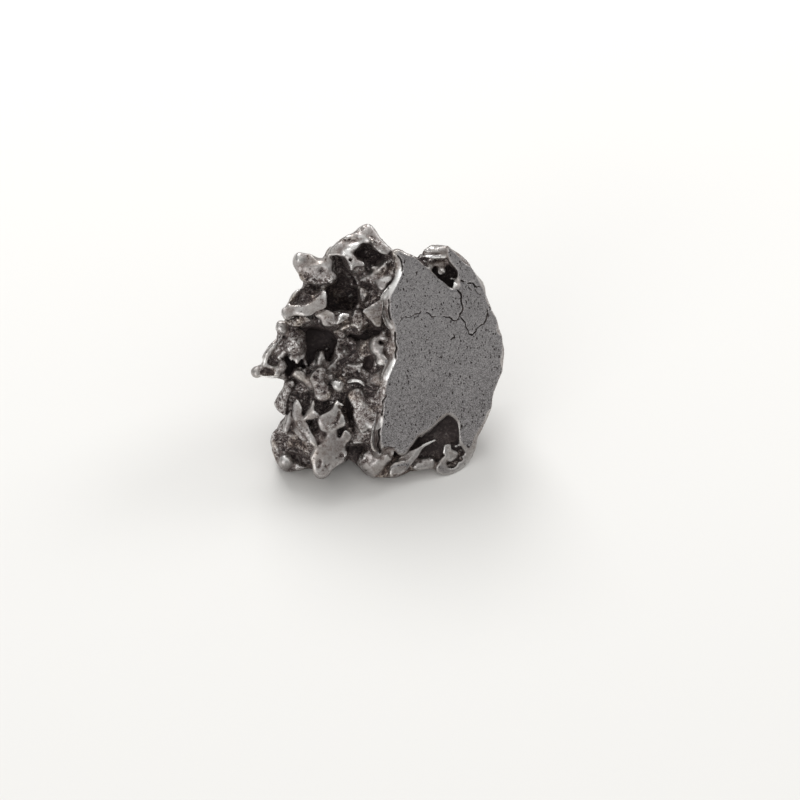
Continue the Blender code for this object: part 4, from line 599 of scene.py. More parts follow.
# Lines along the window's worn edge and a few other rims: points, width and polish. Above 1.05 the polish paints a
# highlight into the colour; below it, it only sets how worn the edge is.
EDGE_WEAR_AND_HIGHLIGHTS = [
    ([(1.35, 11.6), (1.15, 10.0), (0.95, 8.2), (0.9, 7.3)], 0.6, 0.62),
    ([(2.5, 18.6), (2.5, 17.0), (2.6, 15.4)], 0.6, 0.7),
    ([(0.7, 5.0), (0.5, 4.0), (0.5, 2.6)], 0.6, 0.72),
    ([(1.6, 22.6), (1.6, 21.4), (1.7, 20.2)], 0.5, 0.72),
    ([(1.1, 22.9), (1.7, 23.5), (2.4, 24.5), (2.95, 25.4), (3.35, 26.3)], 0.5, 1.55),
    ([(1.5, 12.3), (1.75, 12.9), (2.15, 13.6), (2.5, 14.3)], 0.6, 1.45),
    ([(0.3, 5.7), (0.6, 6.2), (0.8, 6.8)], 0.45, 1.35),
    ([(0.85, 2.4), (0.85, 3.6), (0.85, 5.0)], 0.16, 1.3),
    ([(2.25, 18.9), (1.75, 19.5), (1.5, 20.2)], 0.2, 1.4),
    ([(8.6, -0.35), (10.2, -0.5), (11.4, 0.1), (12.4, 1.2), (12.6, 2.2)], 0.6, 1.1),
    ([(6.7, 29.3), (7.8, 29.6), (8.9, 29.5)], 0.45, 1.1),
]
# Pits seen from the eye: middle, radius, depth.
PITS = [
    (-7.1, 26.45, 0.3, 0.35), (-9.0, 28.25, 0.2, 0.25), (-9.0, 27.6, 0.12, 0.15), (-6.6, 27.9, 0.15, 0.2),
    (-5.8, 25.7, 0.2, 0.25), (-3.3, 27.9, 0.22, 0.6), (-1.3, 32.5, 0.14, 0.25), (-2.5, 31.1, 0.12, 0.15),
    (-4.55, 11.4, 0.15, 0.2), (-7.0, 13.2, 0.2, 0.35), (-7.6, 13.1, 0.18, 0.35), (-7.9, 12.2, 0.25, 0.4), (-7.4, 11.7, 0.2, 0.35),
    (-7.5, 11.0, 0.22, 0.35), (-6.9, 10.6, 0.3, 0.45), (-6.4, 10.0, 0.18, 0.3), (-8.0, 12.7, 0.15, 0.25),
    (-8.2, 12.4, 0.15, 0.25), (-6.6, 10.2, 0.25, 0.4), (-7.2, 9.8, 0.15, 0.2), (-7.6, 11.2, 0.18, 0.3),
    (-4.5, 2.0, 0.3, 0.4), (-7.35, 1.15, 0.3, 0.45), (-6.6, 0.6, 0.2, 0.35), (-7.5, 0.5, 0.2, 0.3),
    (-7.9, 2.2, 0.12, 0.15), (-6.5, 2.4, 0.1, 0.12), (-5.1, 0.7, 0.12, 0.15), (-7.0, 0.0, 0.1, 0.12),
    (9.62, 3.1, 0.2, 0.5), (10.5, 2.85, 0.2, 0.5), (10.2, 3.5, 0.2, 0.4), (11.7, 2.25, 0.3, 0.6), (9.4, 1.15, 0.16, 0.3),
    (11.9, 1.75, 0.14, 0.3), (8.75, -0.3, 0.1, 0.15), (6.7, 27.9, 0.15, 0.25), (7.0, 27.3, 0.12, 0.2),
    (8.6, 26.6, 0.14, 0.2), (8.9, 26.2, 0.12, 0.2), (7.2, 29.3, 0.12, 0.12), (8.2, 29.5, 0.1, 0.12),
    (8.7, 29.2, 0.12, 0.15), (7.8, 29.1, 0.1, 0.12), (5.9, 1.1, 0.14, 0.2), (5.6, 0.4, 0.12, 0.15),
    (-8.3, 23.2, 0.55, 0.4), (-0.35, 6.7, 0.28, 0.45), (-1.1, 7.3, 0.14, 0.2), (-6.2, 6.9, 0.12, 0.12), (-6.8, 6.0, 0.1, 0.12), (-14.8, 12.75, 0.15, 0.2), (-0.8, 0.9, 0.12, 0.12),
]
# Cracks in the sawn face: points, half width and depth.
CRACKS = [
    ([(10.95, 24.0), (11.3, 23.4), (11.5, 22.6), (11.62, 21.8), (11.6, 21.1), (11.5, 20.5)], 0.085, 0.35),
    ([(11.5, 20.5), (11.45, 20.1), (11.9, 19.66), (12.3, 18.8)], 0.06, 0.3),
    ([(10.8, 25.6), (11.2, 25.35), (11.7, 25.0)], 0.085, 0.35),
    ([(12.3, 24.75), (12.9, 24.7), (13.2, 24.3), (13.45, 24.15)], 0.075, 0.35),
    ([(13.45, 24.15), (13.7, 24.3), (14.2, 24.3)], 0.05, 0.25),
    ([(12.4, 24.3), (12.7, 24.0)], 0.05, 0.2),
    ([(13.3, 23.9), (13.7, 23.4), (14.1, 23.2)], 0.045, 0.2),
    ([(12.5, 18.0), (13.1, 17.9), (13.6, 18.7), (14.4, 19.2), (14.8, 20.4), (15.1, 21.5)], 0.056, 0.3),
    ([(12.3, 18.8), (12.35, 18.4), (12.5, 18.0)], 0.05, 0.25),
    ([(11.46, 20.26), (10.9, 19.8), (10.4, 19.9), (9.9, 20.15), (9.1, 20.4)], 0.055, 0.3),
    ([(8.1, 20.35), (7.5, 20.5), (7.1, 20.75), (6.7, 20.95)], 0.055, 0.3),
    ([(6.1, 21.1), (5.9, 20.85), (5.5, 20.65)], 0.06, 0.3),
    ([(5.5, 20.5), (4.7, 20.3), (3.9, 20.25), (3.6, 20.1), (3.1, 19.3)], 0.045, 0.22),
    ([(11.3, 6.0), (11.25, 5.2), (11.35, 4.6), (11.25, 3.9)], 0.06, 0.35),
    ([(1.8, 6.9), (2.7, 7.4), (3.8, 8.3), (4.4, 9.05), (5.0, 9.9), (5.7, 10.6), (6.4, 11.0)], 0.035, 0.08),
    ([(2.8, 12.3), (4.4, 11.7), (6.0, 12.4)], 0.035, 0.05),
    ([(9.3, 19.3), (9.9, 19.6), (10.6, 19.5)], 0.035, 0.08),
    ([(4.9, 24.6), (5.9, 23.9), (6.4, 23.0)], 0.035, 0.05),
    ([(13.7, 13.2), (13.5, 11.9), (12.8, 10.6), (12.9, 9.3)], 0.035, 0.07),
    ([(10.55, 18.05), (10.75, 17.6), (10.6, 17.35)], 0.062, 0.3),
    ([(10.65, 17.6), (10.3, 17.35), (10.05, 17.25)], 0.074, 0.35),
    ([(6.8, 17.35), (6.95, 17.2), (7.1, 17.25)], 0.043, 0.2),
    ([(3.35, 9.4), (3.45, 9.2)], 0.05, 0.2),
    ([(1.25, 3.2), (1.9, 3.15), (2.5, 3.15)], 0.05, 0.2),
    ([(3.15, 28.45), (3.45, 28.1), (3.6, 27.5), (3.72, 27.0), (3.55, 26.4)], 0.074, 0.35),
    ([(1.85, 22.6), (1.85, 21.6), (1.95, 20.8), (2.1, 19.95)], 0.074, 0.4),
    ([(1.05, 21.8), (1.0, 20.8), (1.05, 19.8)], 0.056, 0.3),
    ([(2.7, 18.1), (2.65, 17.2), (2.8, 16.3), (2.88, 15.6), (2.8, 15.0)], 0.087, 0.4),
    ([(1.15, 9.75), (1.1, 8.8), (1.02, 8.0), (0.95, 7.3)], 0.07, 0.4),
    ([(0.62, 5.4), (0.5, 4.6), (0.42, 3.8), (0.45, 3.0), (0.6, 2.4)], 0.087, 0.4),
]

RELIEF_SEED = 7
RELIEF_MIDDLE = np.array((1.0, 8.5, 12.5))
RELIEF_FLAKES = 300
RELIEF_PITS = 150
FLAKE = (2.3, 1.4, 1.05)
PIT = (1.6, 1.1, 1.3)
# The scene's own, smaller relief on the hidden sides.
CHIPS = 700
CHIP = (1.15, 0.62, 0.42)
DIMPLES = 420
DIMPLE = (0.75, 0.55, 0.6)
HIDDEN = -0.3
# Grains and pits on the seen rough ground.
GRAINS = 340
GRAIN = (0.34, 0.24, 0.24)
GROUND_THICK = 4.5
RIM_FROM, RIM_CLEAR = 3.0, 1.2

AXES = [np.arange(low, high, STEP, dtype=np.float32) for low, high in zip(GRID_LOW, GRID_HIGH)]
field = np.full([len(axis) for axis in AXES], FAR, np.float32)
polish_and_painted_light = np.zeros_like(field)


def place(u, v, w):
    """Seen millimetres to axes with Z up: each point moves along its line of sight to the eye."""
    spread = (EYE_DISTANCE - w) / EYE_DISTANCE
    x = EYE_ACROSS + (u - EYE_ACROSS) * spread
    rise = EYE_UP + (v - EYE_UP) * spread
    return x, rise * EYE_SIN - w * EYE_COS, rise * EYE_COS + w * EYE_SIN


def seen(x, y, z):
    """The inverse of place."""
    w = z * EYE_SIN - y * EYE_COS
    spread = (EYE_DISTANCE - w) / EYE_DISTANCE
    u = EYE_ACROSS + (x - EYE_ACROSS) / spread
    v = EYE_UP + (y * EYE_SIN + z * EYE_COS - EYE_UP) / spread
    return u, v, w


def saw_normal():
    return np.array((math.sin(SAW_TURN) * math.cos(SAW_LEAN), -math.cos(SAW_TURN) * math.cos(SAW_LEAN),
                     math.sin(SAW_LEAN)))


def above_saw(u, v, w):
    """Distance in front of the saw's plane."""
    normal = saw_normal()
    anchor = place(*SAW_POINT)
    return sum((p - a) * n for p, a, n in zip(place(u, v, w), anchor, normal))


def noise(spacing, seed, axes):
    """Smooth random values with a spread of one: numbers on a coarse lattice, blended by cubic splines."""
    chance = np.random.default_rng(seed)
    grid = chance.standard_normal([int((axis[-1] - axis[0]) / spacing) + 4 for axis in axes], np.float32)
    for k, axis in enumerate(axes):
        along = (axis - axis[0]) / spacing
        first = along.astype(int)
        f = (along - first).reshape([-1 if n == k else 1 for n in range(len(axes))])
        shares = ((1 - f) ** 3, 3 * f ** 3 - 6 * f ** 2 + 4, -3 * f ** 3 + 3 * f ** 2 + 3 * f + 1, f ** 3)
        grid = sum(share * np.take(grid, first + n, axis=k) for n, share in enumerate(shares))
    return grid / grid.std()


def block(low, high, margin=1.2):
    """The part of the grid between two corners: its slices, and its coordinates shaped to broadcast."""
    cut = []
    for axis, lo, hi in zip(AXES, low, high):
        first = int(np.clip((lo - margin - axis[0]) / STEP, 0, len(axis) - 2))
        last = int(np.clip((hi + margin - axis[0]) / STEP + 2, first + 1, len(axis)))
        cut.append(slice(first, last))
    u, v, w = (axis[part] for axis, part in zip(AXES, cut))
    return tuple(cut), u[:, None, None], v[None, :, None], w[None, None, :]


def soft_min(a, b, reach):
    """The lesser of two fields, with a fillet where they differ by less than reach."""
    overlap = np.maximum(reach - np.abs(a - b), 0)
    return np.minimum(a, b) - overlap * overlap / (4 * reach)


def soft_max(a, b, reach):
    return -soft_min(-a, -b, reach)


def add(cut, distance, finish_and_painted_light, reach=0.2):
    """Joins a form to the field. Its own wear and painted light count where it is the nearer skin."""
    own = np.clip(0.5 + (field[cut] - distance) / 0.3, 0, 1)
    polish_and_painted_light[cut] += (finish_and_painted_light - polish_and_painted_light[cut]) * own
    field[cut] = soft_min(field[cut], distance, reach)


def take(cut, distance, finish_and_painted_light=0.0, reach=0.2):
    """Takes a form out of the field."""
    own = np.clip(0.5 + (-distance - field[cut]) / 0.3, 0, 1)
    polish_and_painted_light[cut] += (finish_and_painted_light - polish_and_painted_light[cut]) * own
    field[cut] = soft_max(field[cut], -distance, reach)


def rounded(outline, rounds=1):
    """The outline with its corners cut: each edge keeps its points a quarter in from either end."""
    points = np.array(outline, np.float32)
    for _ in range(rounds):
        onward = np.roll(points, -1, axis=0)
        points = np.stack([0.75 * points + 0.25 * onward, 0.25 * points + 0.75 * onward], 1).reshape(-1, 2)
    return points


def edge_gaps(a, b, p):
    """From each point of p to each edge from a to b: the gap's two parts, shaped (edges, points, 2)."""
    run, off = b - a, p - a
    share = np.clip((run * off).sum(-1) / (run * run).sum(-1), 0, 1)
    return run, off, off - run * share[..., None]


def outline_distance(outline, p):
    """Signed distance in the picture's plane, negative inside: the least distance to any edge."""
    shape = p.shape[:-1]
    a = rounded(outline)[:, None, :]
    b = np.roll(a, -1, axis=0)
    p = p.reshape(1, -1, 2)
    run, off, gap = edge_gaps(a, b, p)
    nearest = np.sqrt((gap * gap).sum(-1).min(0))
    above = (a[..., 1] <= p[..., 1]) != (b[..., 1] <= p[..., 1])
    cross = run[..., 0] * off[..., 1] - run[..., 1] * off[..., 0]
    left = (cross > 0) == (run[..., 1] > 0)
    inside = (above & left).sum(0) % 2 == 1
    return np.where(inside, -nearest, nearest).reshape(shape).astype(np.float32)


def line_distance(points, p):
    """Distance in the picture's plane to an open line."""
    a = np.array(points, np.float32)
    _, _, gap = edge_gaps(a[:-1, None, :], a[1:, None, :], p.reshape(1, -1, 2))
    return np.sqrt((gap * gap).sum(-1).min(0)).reshape(p.shape[:-1]).astype(np.float32)


def ledge(outline, front, thick, crown=0.0, span=0.7, spread=0.0, soft=0.3, taper=0.5, bowl=0.0, polish_and_painted_light=(0.5, 0.5)):
    """A plate: outline in the picture's plane, a sloping front that swells or sinks inside its rim, a back.

    Behind the front its sides spread outwards, or inwards where spread is below nought.
    """
    points = np.array(outline)
    mid = points.mean(0)
    low, high = points.min(0), points.max(0)
    tilt = abs(front[1]) * (high[0] - low[0]) + abs(front[2]) * (high[1] - low[1])
    out = max(spread, 0) * thick
    cut, u, v, w = block((*(low - out), front[0] - tilt - thick), (*(high + out), front[0] + tilt))
    flat = outline_distance(outline, drawn[cut[:2]])[:, :, None]
    slope = front[0] + front[1] * (u - mid[0]) + front[2] * (v - mid[1])
    rim = np.exp(-np.maximum(-flat, 0) / span)
    depth = slope - w
    steep = math.sqrt(1 + front[1] ** 2 + front[2] ** 2)
    top = (w - slope - crown * (1 - rim)) / steep
    side = (flat - spread * np.maximum(depth - 0.25, 0)) / math.sqrt(1 + spread ** 2)
    behind = thick * (1 - taper * np.exp(-np.maximum(-flat, 0))) * (1 - bowl * rim)
    solid = soft_max(soft_max(side, top, soft), (depth - behind) / steep, soft)
    finish_and_painted_light = polish_and_painted_light[1] + (polish_and_painted_light[0] - polish_and_painted_light[1]) * rim
    if not bowl:
        finish_and_painted_light = finish_and_painted_light * np.clip(1.3 - 0.4 * depth, 0.25, 1)
    return cut, solid, finish_and_painted_light


def spin_of(turn):
    return np.array(Matrix.Rotation(math.radians(turn[0]), 3, "Z") @ Euler(
        (math.radians(turn[1]), math.radians(turn[2]), 0.0)).to_matrix(), np.float32)


def egg(p, at, radii, spin):
    """Distance to an egg shape, nearly: how far out in radii, times what a radius is that way."""
    off = [p[k] - at[k] for k in range(3)]
    local = [sum(spin[k][j] * off[k] for k in range(3)) for j in range(3)]
    out = sum((local[j] / radii[j]) ** 2 for j in range(3))
    lean = sum((local[j] / radii[j] ** 2) ** 2 for j in range(3))
    far = np.sqrt(out)
    return far * (far - 1) / np.maximum(np.sqrt(lean), 1e-6)


def lump(at, radii, turn):
    reach = max(radii)
    cut, u, v, w = block([a - reach for a in at], [a + reach for a in at])
    return cut, egg((u, v, w), at, radii, spin_of(turn)) + 0.1 * min(1.0, reach) * creased[cut]


def bar(a, b):
    """A tapering bar: distance to the nearest point between its ends, less the radius there."""
    (ax, ay, az, ra), (bx, by, bz, rb) = a, b
    reach = max(ra, rb)
    low = [min(p, q) - reach for p, q in zip(a[:3], b[:3])]
    high = [max(p, q) + reach for p, q in zip(a[:3], b[:3])]
    cut, u, v, w = block(low, high)
    run = (bx - ax, by - ay, bz - az)
    off = (u - ax, v - ay, w - az)
    share = np.clip(sum(r * o for r, o in zip(run, off)) / sum(r * r for r in run), 0, 1)
    gap = sum((o - r * share) ** 2 for r, o in zip(run, off))
    return cut, np.sqrt(gap) - (ra + (rb - ra) * share)


def ridge(a, b):
    """A crest: in the picture's plane its height falls off with distance from the line, as a roof's does."""
    (ax, ay, az, ra), (bx, by, bz, rb) = a, b
    base = 2.6 * max(ra, rb)
    low = (min(ax, bx) - base, min(ay, by) - base, min(az, bz) - 2 * base)
    high = (max(ax, bx) + base, max(ay, by) + base, max(az, bz) + base)
    cut, _, _, w = block(low, high)
    p = drawn[cut[:2]]
    run = np.array((bx - ax, by - ay))
    off = p - np.array((ax, ay))
    share = np.clip((off @ run) / (run @ run), 0, 1)
    gap = np.hypot(off[..., 0] - run[0] * share, off[..., 1] - run[1] * share)[:, :, None]
    share = share[:, :, None]
    radius = ra + (rb - ra) * share
    blunt = 0.35 * radius
    roof = w - (az + (bz - az) * share + radius) + 1.2 * (np.sqrt(gap * gap + blunt * blunt) - blunt)
    return cut, np.maximum(roof / 1.56, gap - 2.4 * radius)


def add_forms(ledges, lumps, horns, bars):
    for form in ledges.values():
        (take if form.get("bowl") else add)(*ledge(**form))
    for at, radii, turn, finish_and_painted_light in lumps.values():
        add(*lump(at, radii, turn), finish_and_painted_light, reach=0.45)
    for make, forms in ((ridge, horns), (bar, bars)):
        for points, finish_and_painted_light in forms.values():
            for a, b in zip(points, points[1:]):
                add(*make(a, b), finish_and_painted_light, reach=0.3)


def add_ground():
    """The broken ground: at each place the nearness of its marks, weighted by one over distance cubed."""
    marks = np.array(GROUND_NEAR, np.float32)
    far = np.hypot(drawn[..., None, 0] - marks[:, 0], drawn[..., None, 1] - marks[:, 1])
    weight = 1 / (far + 0.3) ** 3
    near = (weight * marks[:, 2]).sum(-1) / weight.sum(-1)
    slope = np.hypot(*np.gradient(near, STEP))
    flat = outline_distance(GROUND, drawn)
    depth = near[:, :, None] - AXES[2][None, None, :]
    top = -depth / np.sqrt(1 + slope * slope)[:, :, None]
    solid = soft_max(soft_max(flat[:, :, None], top, 0.3), depth - GROUND_THICK, 0.3)
    add(np.s_[:, :, :], solid, 0.1, reach=0.4)


def grains(near, count, seed):
    """Small eggs and pits strewn over the seen rough ground, each lying on the skin where it is drawn."""
    chance = random.Random(seed)
    for _ in range(count):
        u, v = chance.uniform(-14.5, 2.5), chance.uniform(-0.5, 31.0)
        size, turn, raised = chance.uniform(0.6, 1.4), chance.uniform(0, 180), chance.random() < 0.6
        if outline_distance(GROUND, np.array([[u, v]], np.float32))[0] > -0.6:
            continue
        w = float(read_grid(near, np.array([u, v])))
        if read_grid(polish_and_painted_light, np.array([u, v, w - 0.1])) > 0.5:
            continue
        radii = (GRAIN[0] * size, GRAIN[1] * size, GRAIN[2] * size)
        yield (u, v, w + (0.05 if raised else 0.14)), radii, (turn, 0, 0), raised


def add_bulk():
    """The mass: egg shapes along the axes with Z up, trimmed by the broken side's slope."""
    for at, radii, lean in BULK.values():
        corners = [[a + s * max(radii) for a, s in zip(at, side)]
                   for side in ((i, j, k) for i in (-1, 1) for j in (-1, 1) for k in (-1, 1))]
        reach = np.array([seen(*corner) for corner in corners])
        cut, u, v, w = block(reach.min(0), reach.max(0))
        add(cut, egg(place(u, v, w), at, radii, spin_of((0, lean, 0))), 0.1, reach=0.5)
    near, by_across, by_up = BROKEN_SLOPE
    steep = math.sqrt(1 + by_across ** 2 + by_up ** 2)
    _, u, v, w = block(GRID_LOW, GRID_HIGH)
    field[:] = np.maximum(field, (w - near - by_across * u - by_up * v) / steep)


def add_window_block():
    """The mass behind the window: its outline shrinks and lifts with depth behind the saw."""
    mid = np.array(WINDOW).mean(0)
    flat = outline_distance(WINDOW, drawn + 0.5 * (flat_grid - drawn))
    u, v = AXES[0][:, None], AXES[1][None, :]
    saw = SAW_POINT[2] + SAW_SLOPE[0] * (u - SAW_POINT[0]) + SAW_SLOPE[1] * (v - SAW_POINT[1])
    steep = math.sqrt(1 + SAW_SLOPE[0] ** 2 + SAW_SLOPE[1] ** 2)
    for k, w in enumerate(AXES[2]):
        depth = saw - w
        size = np.interp(depth, WINDOW_DEPTHS, WINDOW_SIZES)
        lift = np.interp(depth, WINDOW_DEPTHS, WINDOW_LIFTS)
        at = np.stack([mid[0] + (u - mid[0]) / size, mid[1] + (v - mid[1] - lift) / size], -1)
        side = read_grid(flat, at) * size - 0.2
        ends = np.maximum(-1 - depth, depth - WINDOW_DEPTHS[-1]) / steep
        add(np.s_[:, :, k], np.maximum(side, ends), 0.6, reach=0.5)


def read_grid(grid, points):
    """A grid read between its points, at seen positions of as many numbers as it has axes."""
    at = [(points[..., k] - AXES[k][0]) / STEP for k in range(grid.ndim)]
    at = [np.clip(a, 0, size - 1.001) for a, size in zip(at, grid.shape)]
    low = [a.astype(np.int32) for a in at]
    part = [a - b for a, b in zip(at, low)]
    total = 0
    for corner in range(2 ** grid.ndim):
        step = [(corner >> k) & 1 for k in range(grid.ndim)]
        share = math.prod(p if s else 1 - p for p, s in zip(part, step))
        total = total + share * grid[tuple(a + s for a, s in zip(low, step))]
    return total


def relief_seats(ground, count, seed):
    """Where rays that fan out on a spiral leave the ground, and which way out is there."""
    t = np.arange(28, 0, -0.1)
    index = np.arange(count)
    height = 1 - 2 * (index + 0.5) / count
    chance = random.Random(seed)
    draws = [(chance.uniform(-0.3, 0.3), chance.uniform(0.7, 1.3), chance.uniform(-35, 35),
              chance.uniform(-35, 35), chance.uniform(0, 360), chance.uniform(0.0, 1.0)) for _ in index]
    angle = index * math.pi * (3 - math.sqrt(5)) + np.array([d[0] for d in draws])
    flat = np.sqrt(1 - height * height)
    ray = np.stack([flat * np.cos(angle), flat * np.sin(angle), height], 1)
    points = RELIEF_MIDDLE + ray[:, None, :] * t[None, :, None]
    values = read_grid(ground, np.stack(seen(*np.moveaxis(points, -1, 0)), -1))
    at = points[index, (values < 0).argmax(1)]
    slope = []
    for k in range(3):
        ahead, behind = at.copy(), at.copy()
        ahead[:, k] += 0.4
        behind[:, k] -= 0.4
        slope.append(read_grid(ground, np.stack(seen(*ahead.T), -1))
                     - read_grid(ground, np.stack(seen(*behind.T), -1)))
    out = np.stack(slope, 1)
    out /= np.linalg.norm(out, axis=1, keepdims=True)
    return at, out, draws


def relief(ground, count, seed, shape, sinks):
    """Egg shapes on the hidden sides, one per seat, each leant and sunk by its own draws."""
    to_eye = np.array((0, -EYE_COS, EYE_SIN))
    normal = saw_normal()
    for at, out, (_, size, tilt_a, tilt_b, turn, sink) in zip(*relief_seats(ground, count, seed)):
        if out @ to_eye > HIDDEN or out @ normal > 0.25:
            continue
        u, v, _ = seen(*at)
        if u > RIM_FROM and outline_distance(WINDOW, np.array([[u, v]], np.float32))[0] > -RIM_CLEAR:
            continue
        spin = Vector(out).to_track_quat("Z", "Y").to_matrix() @ Euler(
            [math.radians(a) for a in (tilt_a, tilt_b, turn)]).to_matrix()
        middle = at - out * (sinks[0] + sinks[1] * sink)
        radii = [r * size for r in shape]
        reach = max(radii)
        centre = seen(*middle)
        cut, u, v, w = block([c - reach for c in centre], [c + reach for c in centre])
        yield cut, egg(place(u, v, w), middle, radii, np.array(spin, np.float32)), sink


def seen_skin():
    """How near the skin is along each line of sight: where the field last crosses nought."""
    inside = field < 0
    last = field.shape[2] - 1 - inside[:, :, ::-1].argmax(2)
    last = np.clip(last, 0, field.shape[2] - 2)[:, :, None]
    within = np.take_along_axis(field, last, 2)[:, :, 0]
    beyond = np.take_along_axis(field, last + 1, 2)[:, :, 0]
    share = np.clip(within / np.where(within == beyond, -1, within - beyond), 0, 1)
    near = AXES[2][last[:, :, 0]] + STEP * share
    return np.where(inside.any(2), near, AXES[2][0])


def press(near, cut, profile, height, finish_and_painted_light):
    """Raises or sinks the seen skin by a height times a profile: a crest joined to the field, or a cut."""
    w = AXES[2][None, None, :]
    profile = profile[:, :, None]
    front = w - near[cut][:, :, None] - height * profile
    if height > 0:
        changed = np.minimum(field[cut], np.maximum(front, -front - 0.6))
    else:
        changed = np.maximum(field[cut], np.minimum(front, 0.1))
    field[cut] = np.where(profile > 0.1, changed, field[cut])
    if finish_and_painted_light is not None:
        part = profile * np.clip((front + 1.0) / 0.4, 0, 1)
        polish_and_painted_light[cut] += (finish_and_painted_light - polish_and_painted_light[cut]) * part


def add_strokes(strokes, pits):
    """Lines and pits on what the eye sees: a height that falls off with distance as a bell curve."""
    near = seen_skin()
    for points, width, height, finish_and_painted_light in strokes:
        line = np.array(points)
        cut = block((*line.min(0), 0), (*line.max(0), 0))[0][:2]
        far = line_distance(points, drawn[cut])
        press(near, cut, np.exp(-(far / width) ** 2), height, finish_and_painted_light)
    for u, v, radius, depth in pits:
        cut = block((u, v, 0), (u, v, 0), margin=2 * radius + STEP)[0][:2]
        far = np.hypot(drawn[cut][..., 0] - u, drawn[cut][..., 1] - v)
        press(near, cut, np.exp(-(far / radius) ** 3), -depth, 0.0)


def blurred(grid, rounds):
    """Each value with half of the mean of its two neighbours, along each axis in turn."""
    out = grid.copy()
    for _ in range(rounds):
        for k in range(3):
            a = np.moveaxis(out, k, 0)
            b = a.copy()
            b[1:-1] = 0.5 * a[1:-1] + 0.25 * (a[2:] + a[:-2])
            out = np.moveaxis(b, 0, k)
    return out


def surface(grid):
    """A skin of squares round the zero of the grid: one point in each cell that it crosses, at the mean of the crossings on the cell's edges, and one square round each grid edge that it crosses."""
    inside = grid < 0
    count = np.zeros([n - 1 for n in grid.shape], np.int8)
    corners = [(i, j, k) for i in (0, 1) for j in (0, 1) for k in (0, 1)]
    spans = {0: slice(None, -1), 1: slice(1, None)}
    for i, j, k in corners:
        count += inside[spans[i], spans[j], spans[k]]
    cells = np.argwhere((count > 0) & (count < 8))
    number = np.full(count.shape, -1, np.int32)
    number[tuple(cells.T)] = np.arange(len(cells))
    value = {c: grid[tuple((cells + c).T)] for c in corners}
    total = np.zeros((len(cells), 3))
    crossings = np.zeros(len(cells))
    for a in corners:
        for k in range(3):
            if a[k]:
                continue
            b = tuple(1 if n == k else a[n] for n in range(3))
            crossed = (value[a] < 0) != (value[b] < 0)
            gap = np.where(crossed, value[a] - value[b], 1)
            point = np.tile(np.array(a, float), (len(cells), 1))
            point[:, k] = value[a] / gap
            total += point * crossed[:, None]
            crossings += crossed
    points = cells + total / crossings[:, None]
    squares = []
    for k in range(3):
        i, j = (k + 1) % 3, (k + 2) % 3
        low = [slice(1, -1)] * 3
        low[k] = slice(None, -1)
        high = list(low)
        high[k] = slice(1, None)
        low, high = tuple(low), tuple(high)
        change = inside[low] != inside[high]
        at = np.argwhere(change)
        outward = inside[low][tuple(at.T)]
        offset = np.ones(3, int)
        offset[k] = 0
        at = at + offset
        ring = []
        for di, dj in ((0, 0), (1, 0), (1, 1), (0, 1)):
            cell = at.copy()
            cell[:, i] -= di
            cell[:, j] -= dj
            ring.append(number[tuple(cell.T)])
        ring = np.stack(ring, 1)
        squares.append(np.where(outward[:, None], ring, ring[:, ::-1]))
    return points, np.concatenate(squares)


def largest_piece(points, squares):
    """Keeps the biggest connected skin. Labels spread along the edges until they stop changing."""
    label = np.arange(len(points))
    a = squares.ravel()
    b = np.roll(squares, -1, axis=1).ravel()
    while True:
        before = label.copy()
        least = np.minimum(label[a], label[b])
        np.minimum.at(label, a, least)
        np.minimum.at(label, b, least)
        label = label[label]
        label = label[label]
        if (label == before).all():
            break
    names, sizes = np.unique(label, return_counts=True)
    keep = label == names[sizes.argmax()]
    renumber = np.cumsum(keep) - 1
    squares = squares[keep[squares].all(1)]
    return points[keep], renumber[squares]



import time
T = time.time()


def lap(what):
    global T
    print(f"LAP {what}: {time.time() - T:.2f}")
    T = time.time()


flat_grid = np.stack(np.broadcast_arrays(AXES[0][:, None], AXES[1][None, :]), -1)
wander = [0.05 * noise(1.7, seed, AXES[:2]) + 0.05 * noise(0.6, seed + 5, AXES[:2]) for seed in (11, 12)]
drawn = flat_grid + np.stack(wander, -1)
shake = [noise(0.45, seed, AXES[:2]) for seed in (13, 14)]
swell = noise(2.6, 21, AXES)
dents = noise(1.25, 22, AXES)
grit = noise(0.5, 23, AXES)
creased = np.abs(dents) - 0.8
lap("noise")
add_bulk()
add_window_block()
lap("bulk")
ground = field.copy()
flakes = list(relief(ground, RELIEF_FLAKES, RELIEF_SEED + 1, FLAKE, (0.1, 0.8)))
pits = list(relief(ground, RELIEF_PITS, RELIEF_SEED, PIT, (0.3, -0.9)))
add_ground()
add_forms(LEDGES, LUMPS, HORNS, BARS)
for cut, solid, sink in flakes:
    add(cut, solid, 0.3 + 0.5 * (1 - sink), reach=0.3)
lap("forms")
# The hollows darken the colour where they cut: the hollows' crust together with painted shade.
for at, radii, turn in HOLLOW_LUMPS.values():
    take(*lump(at, radii, turn), -0.4)
for form in HOLLOW_LEDGES.values():
    cut, solid, _ = ledge(**form)
    take(cut, solid, form["polish_and_painted_light"][0])
for cut, solid, _ in pits:
    take(cut, solid, 0.1)
chips = list(relief(field, CHIPS, 31, CHIP, (0.1, 0.25)))
for cut, solid, sink in chips:
    add(cut, solid, 0.25 + 0.75 * (1 - sink), reach=0.15)
dimples = list(relief(field, DIMPLES, 32, DIMPLE, (0.1, -0.5)))
for cut, solid, _ in dimples:
    take(cut, solid, 0.0, reach=0.15)
for at, radii, turn, raised in grains(seen_skin(), GRAINS, 41):
    cut, solid = lump(at, radii, turn)
    if raised:
        add(cut, solid, 0.42, reach=0.15)
    else:
        take(cut, solid, 0.0, reach=0.15)
add_forms(NOTCH_LEDGES, NOTCH_LUMPS, NOTCH_HORNS, NOTCH_BARS)
lap("hollows")
add_strokes(STROKES, PITS)
lap("strokes")

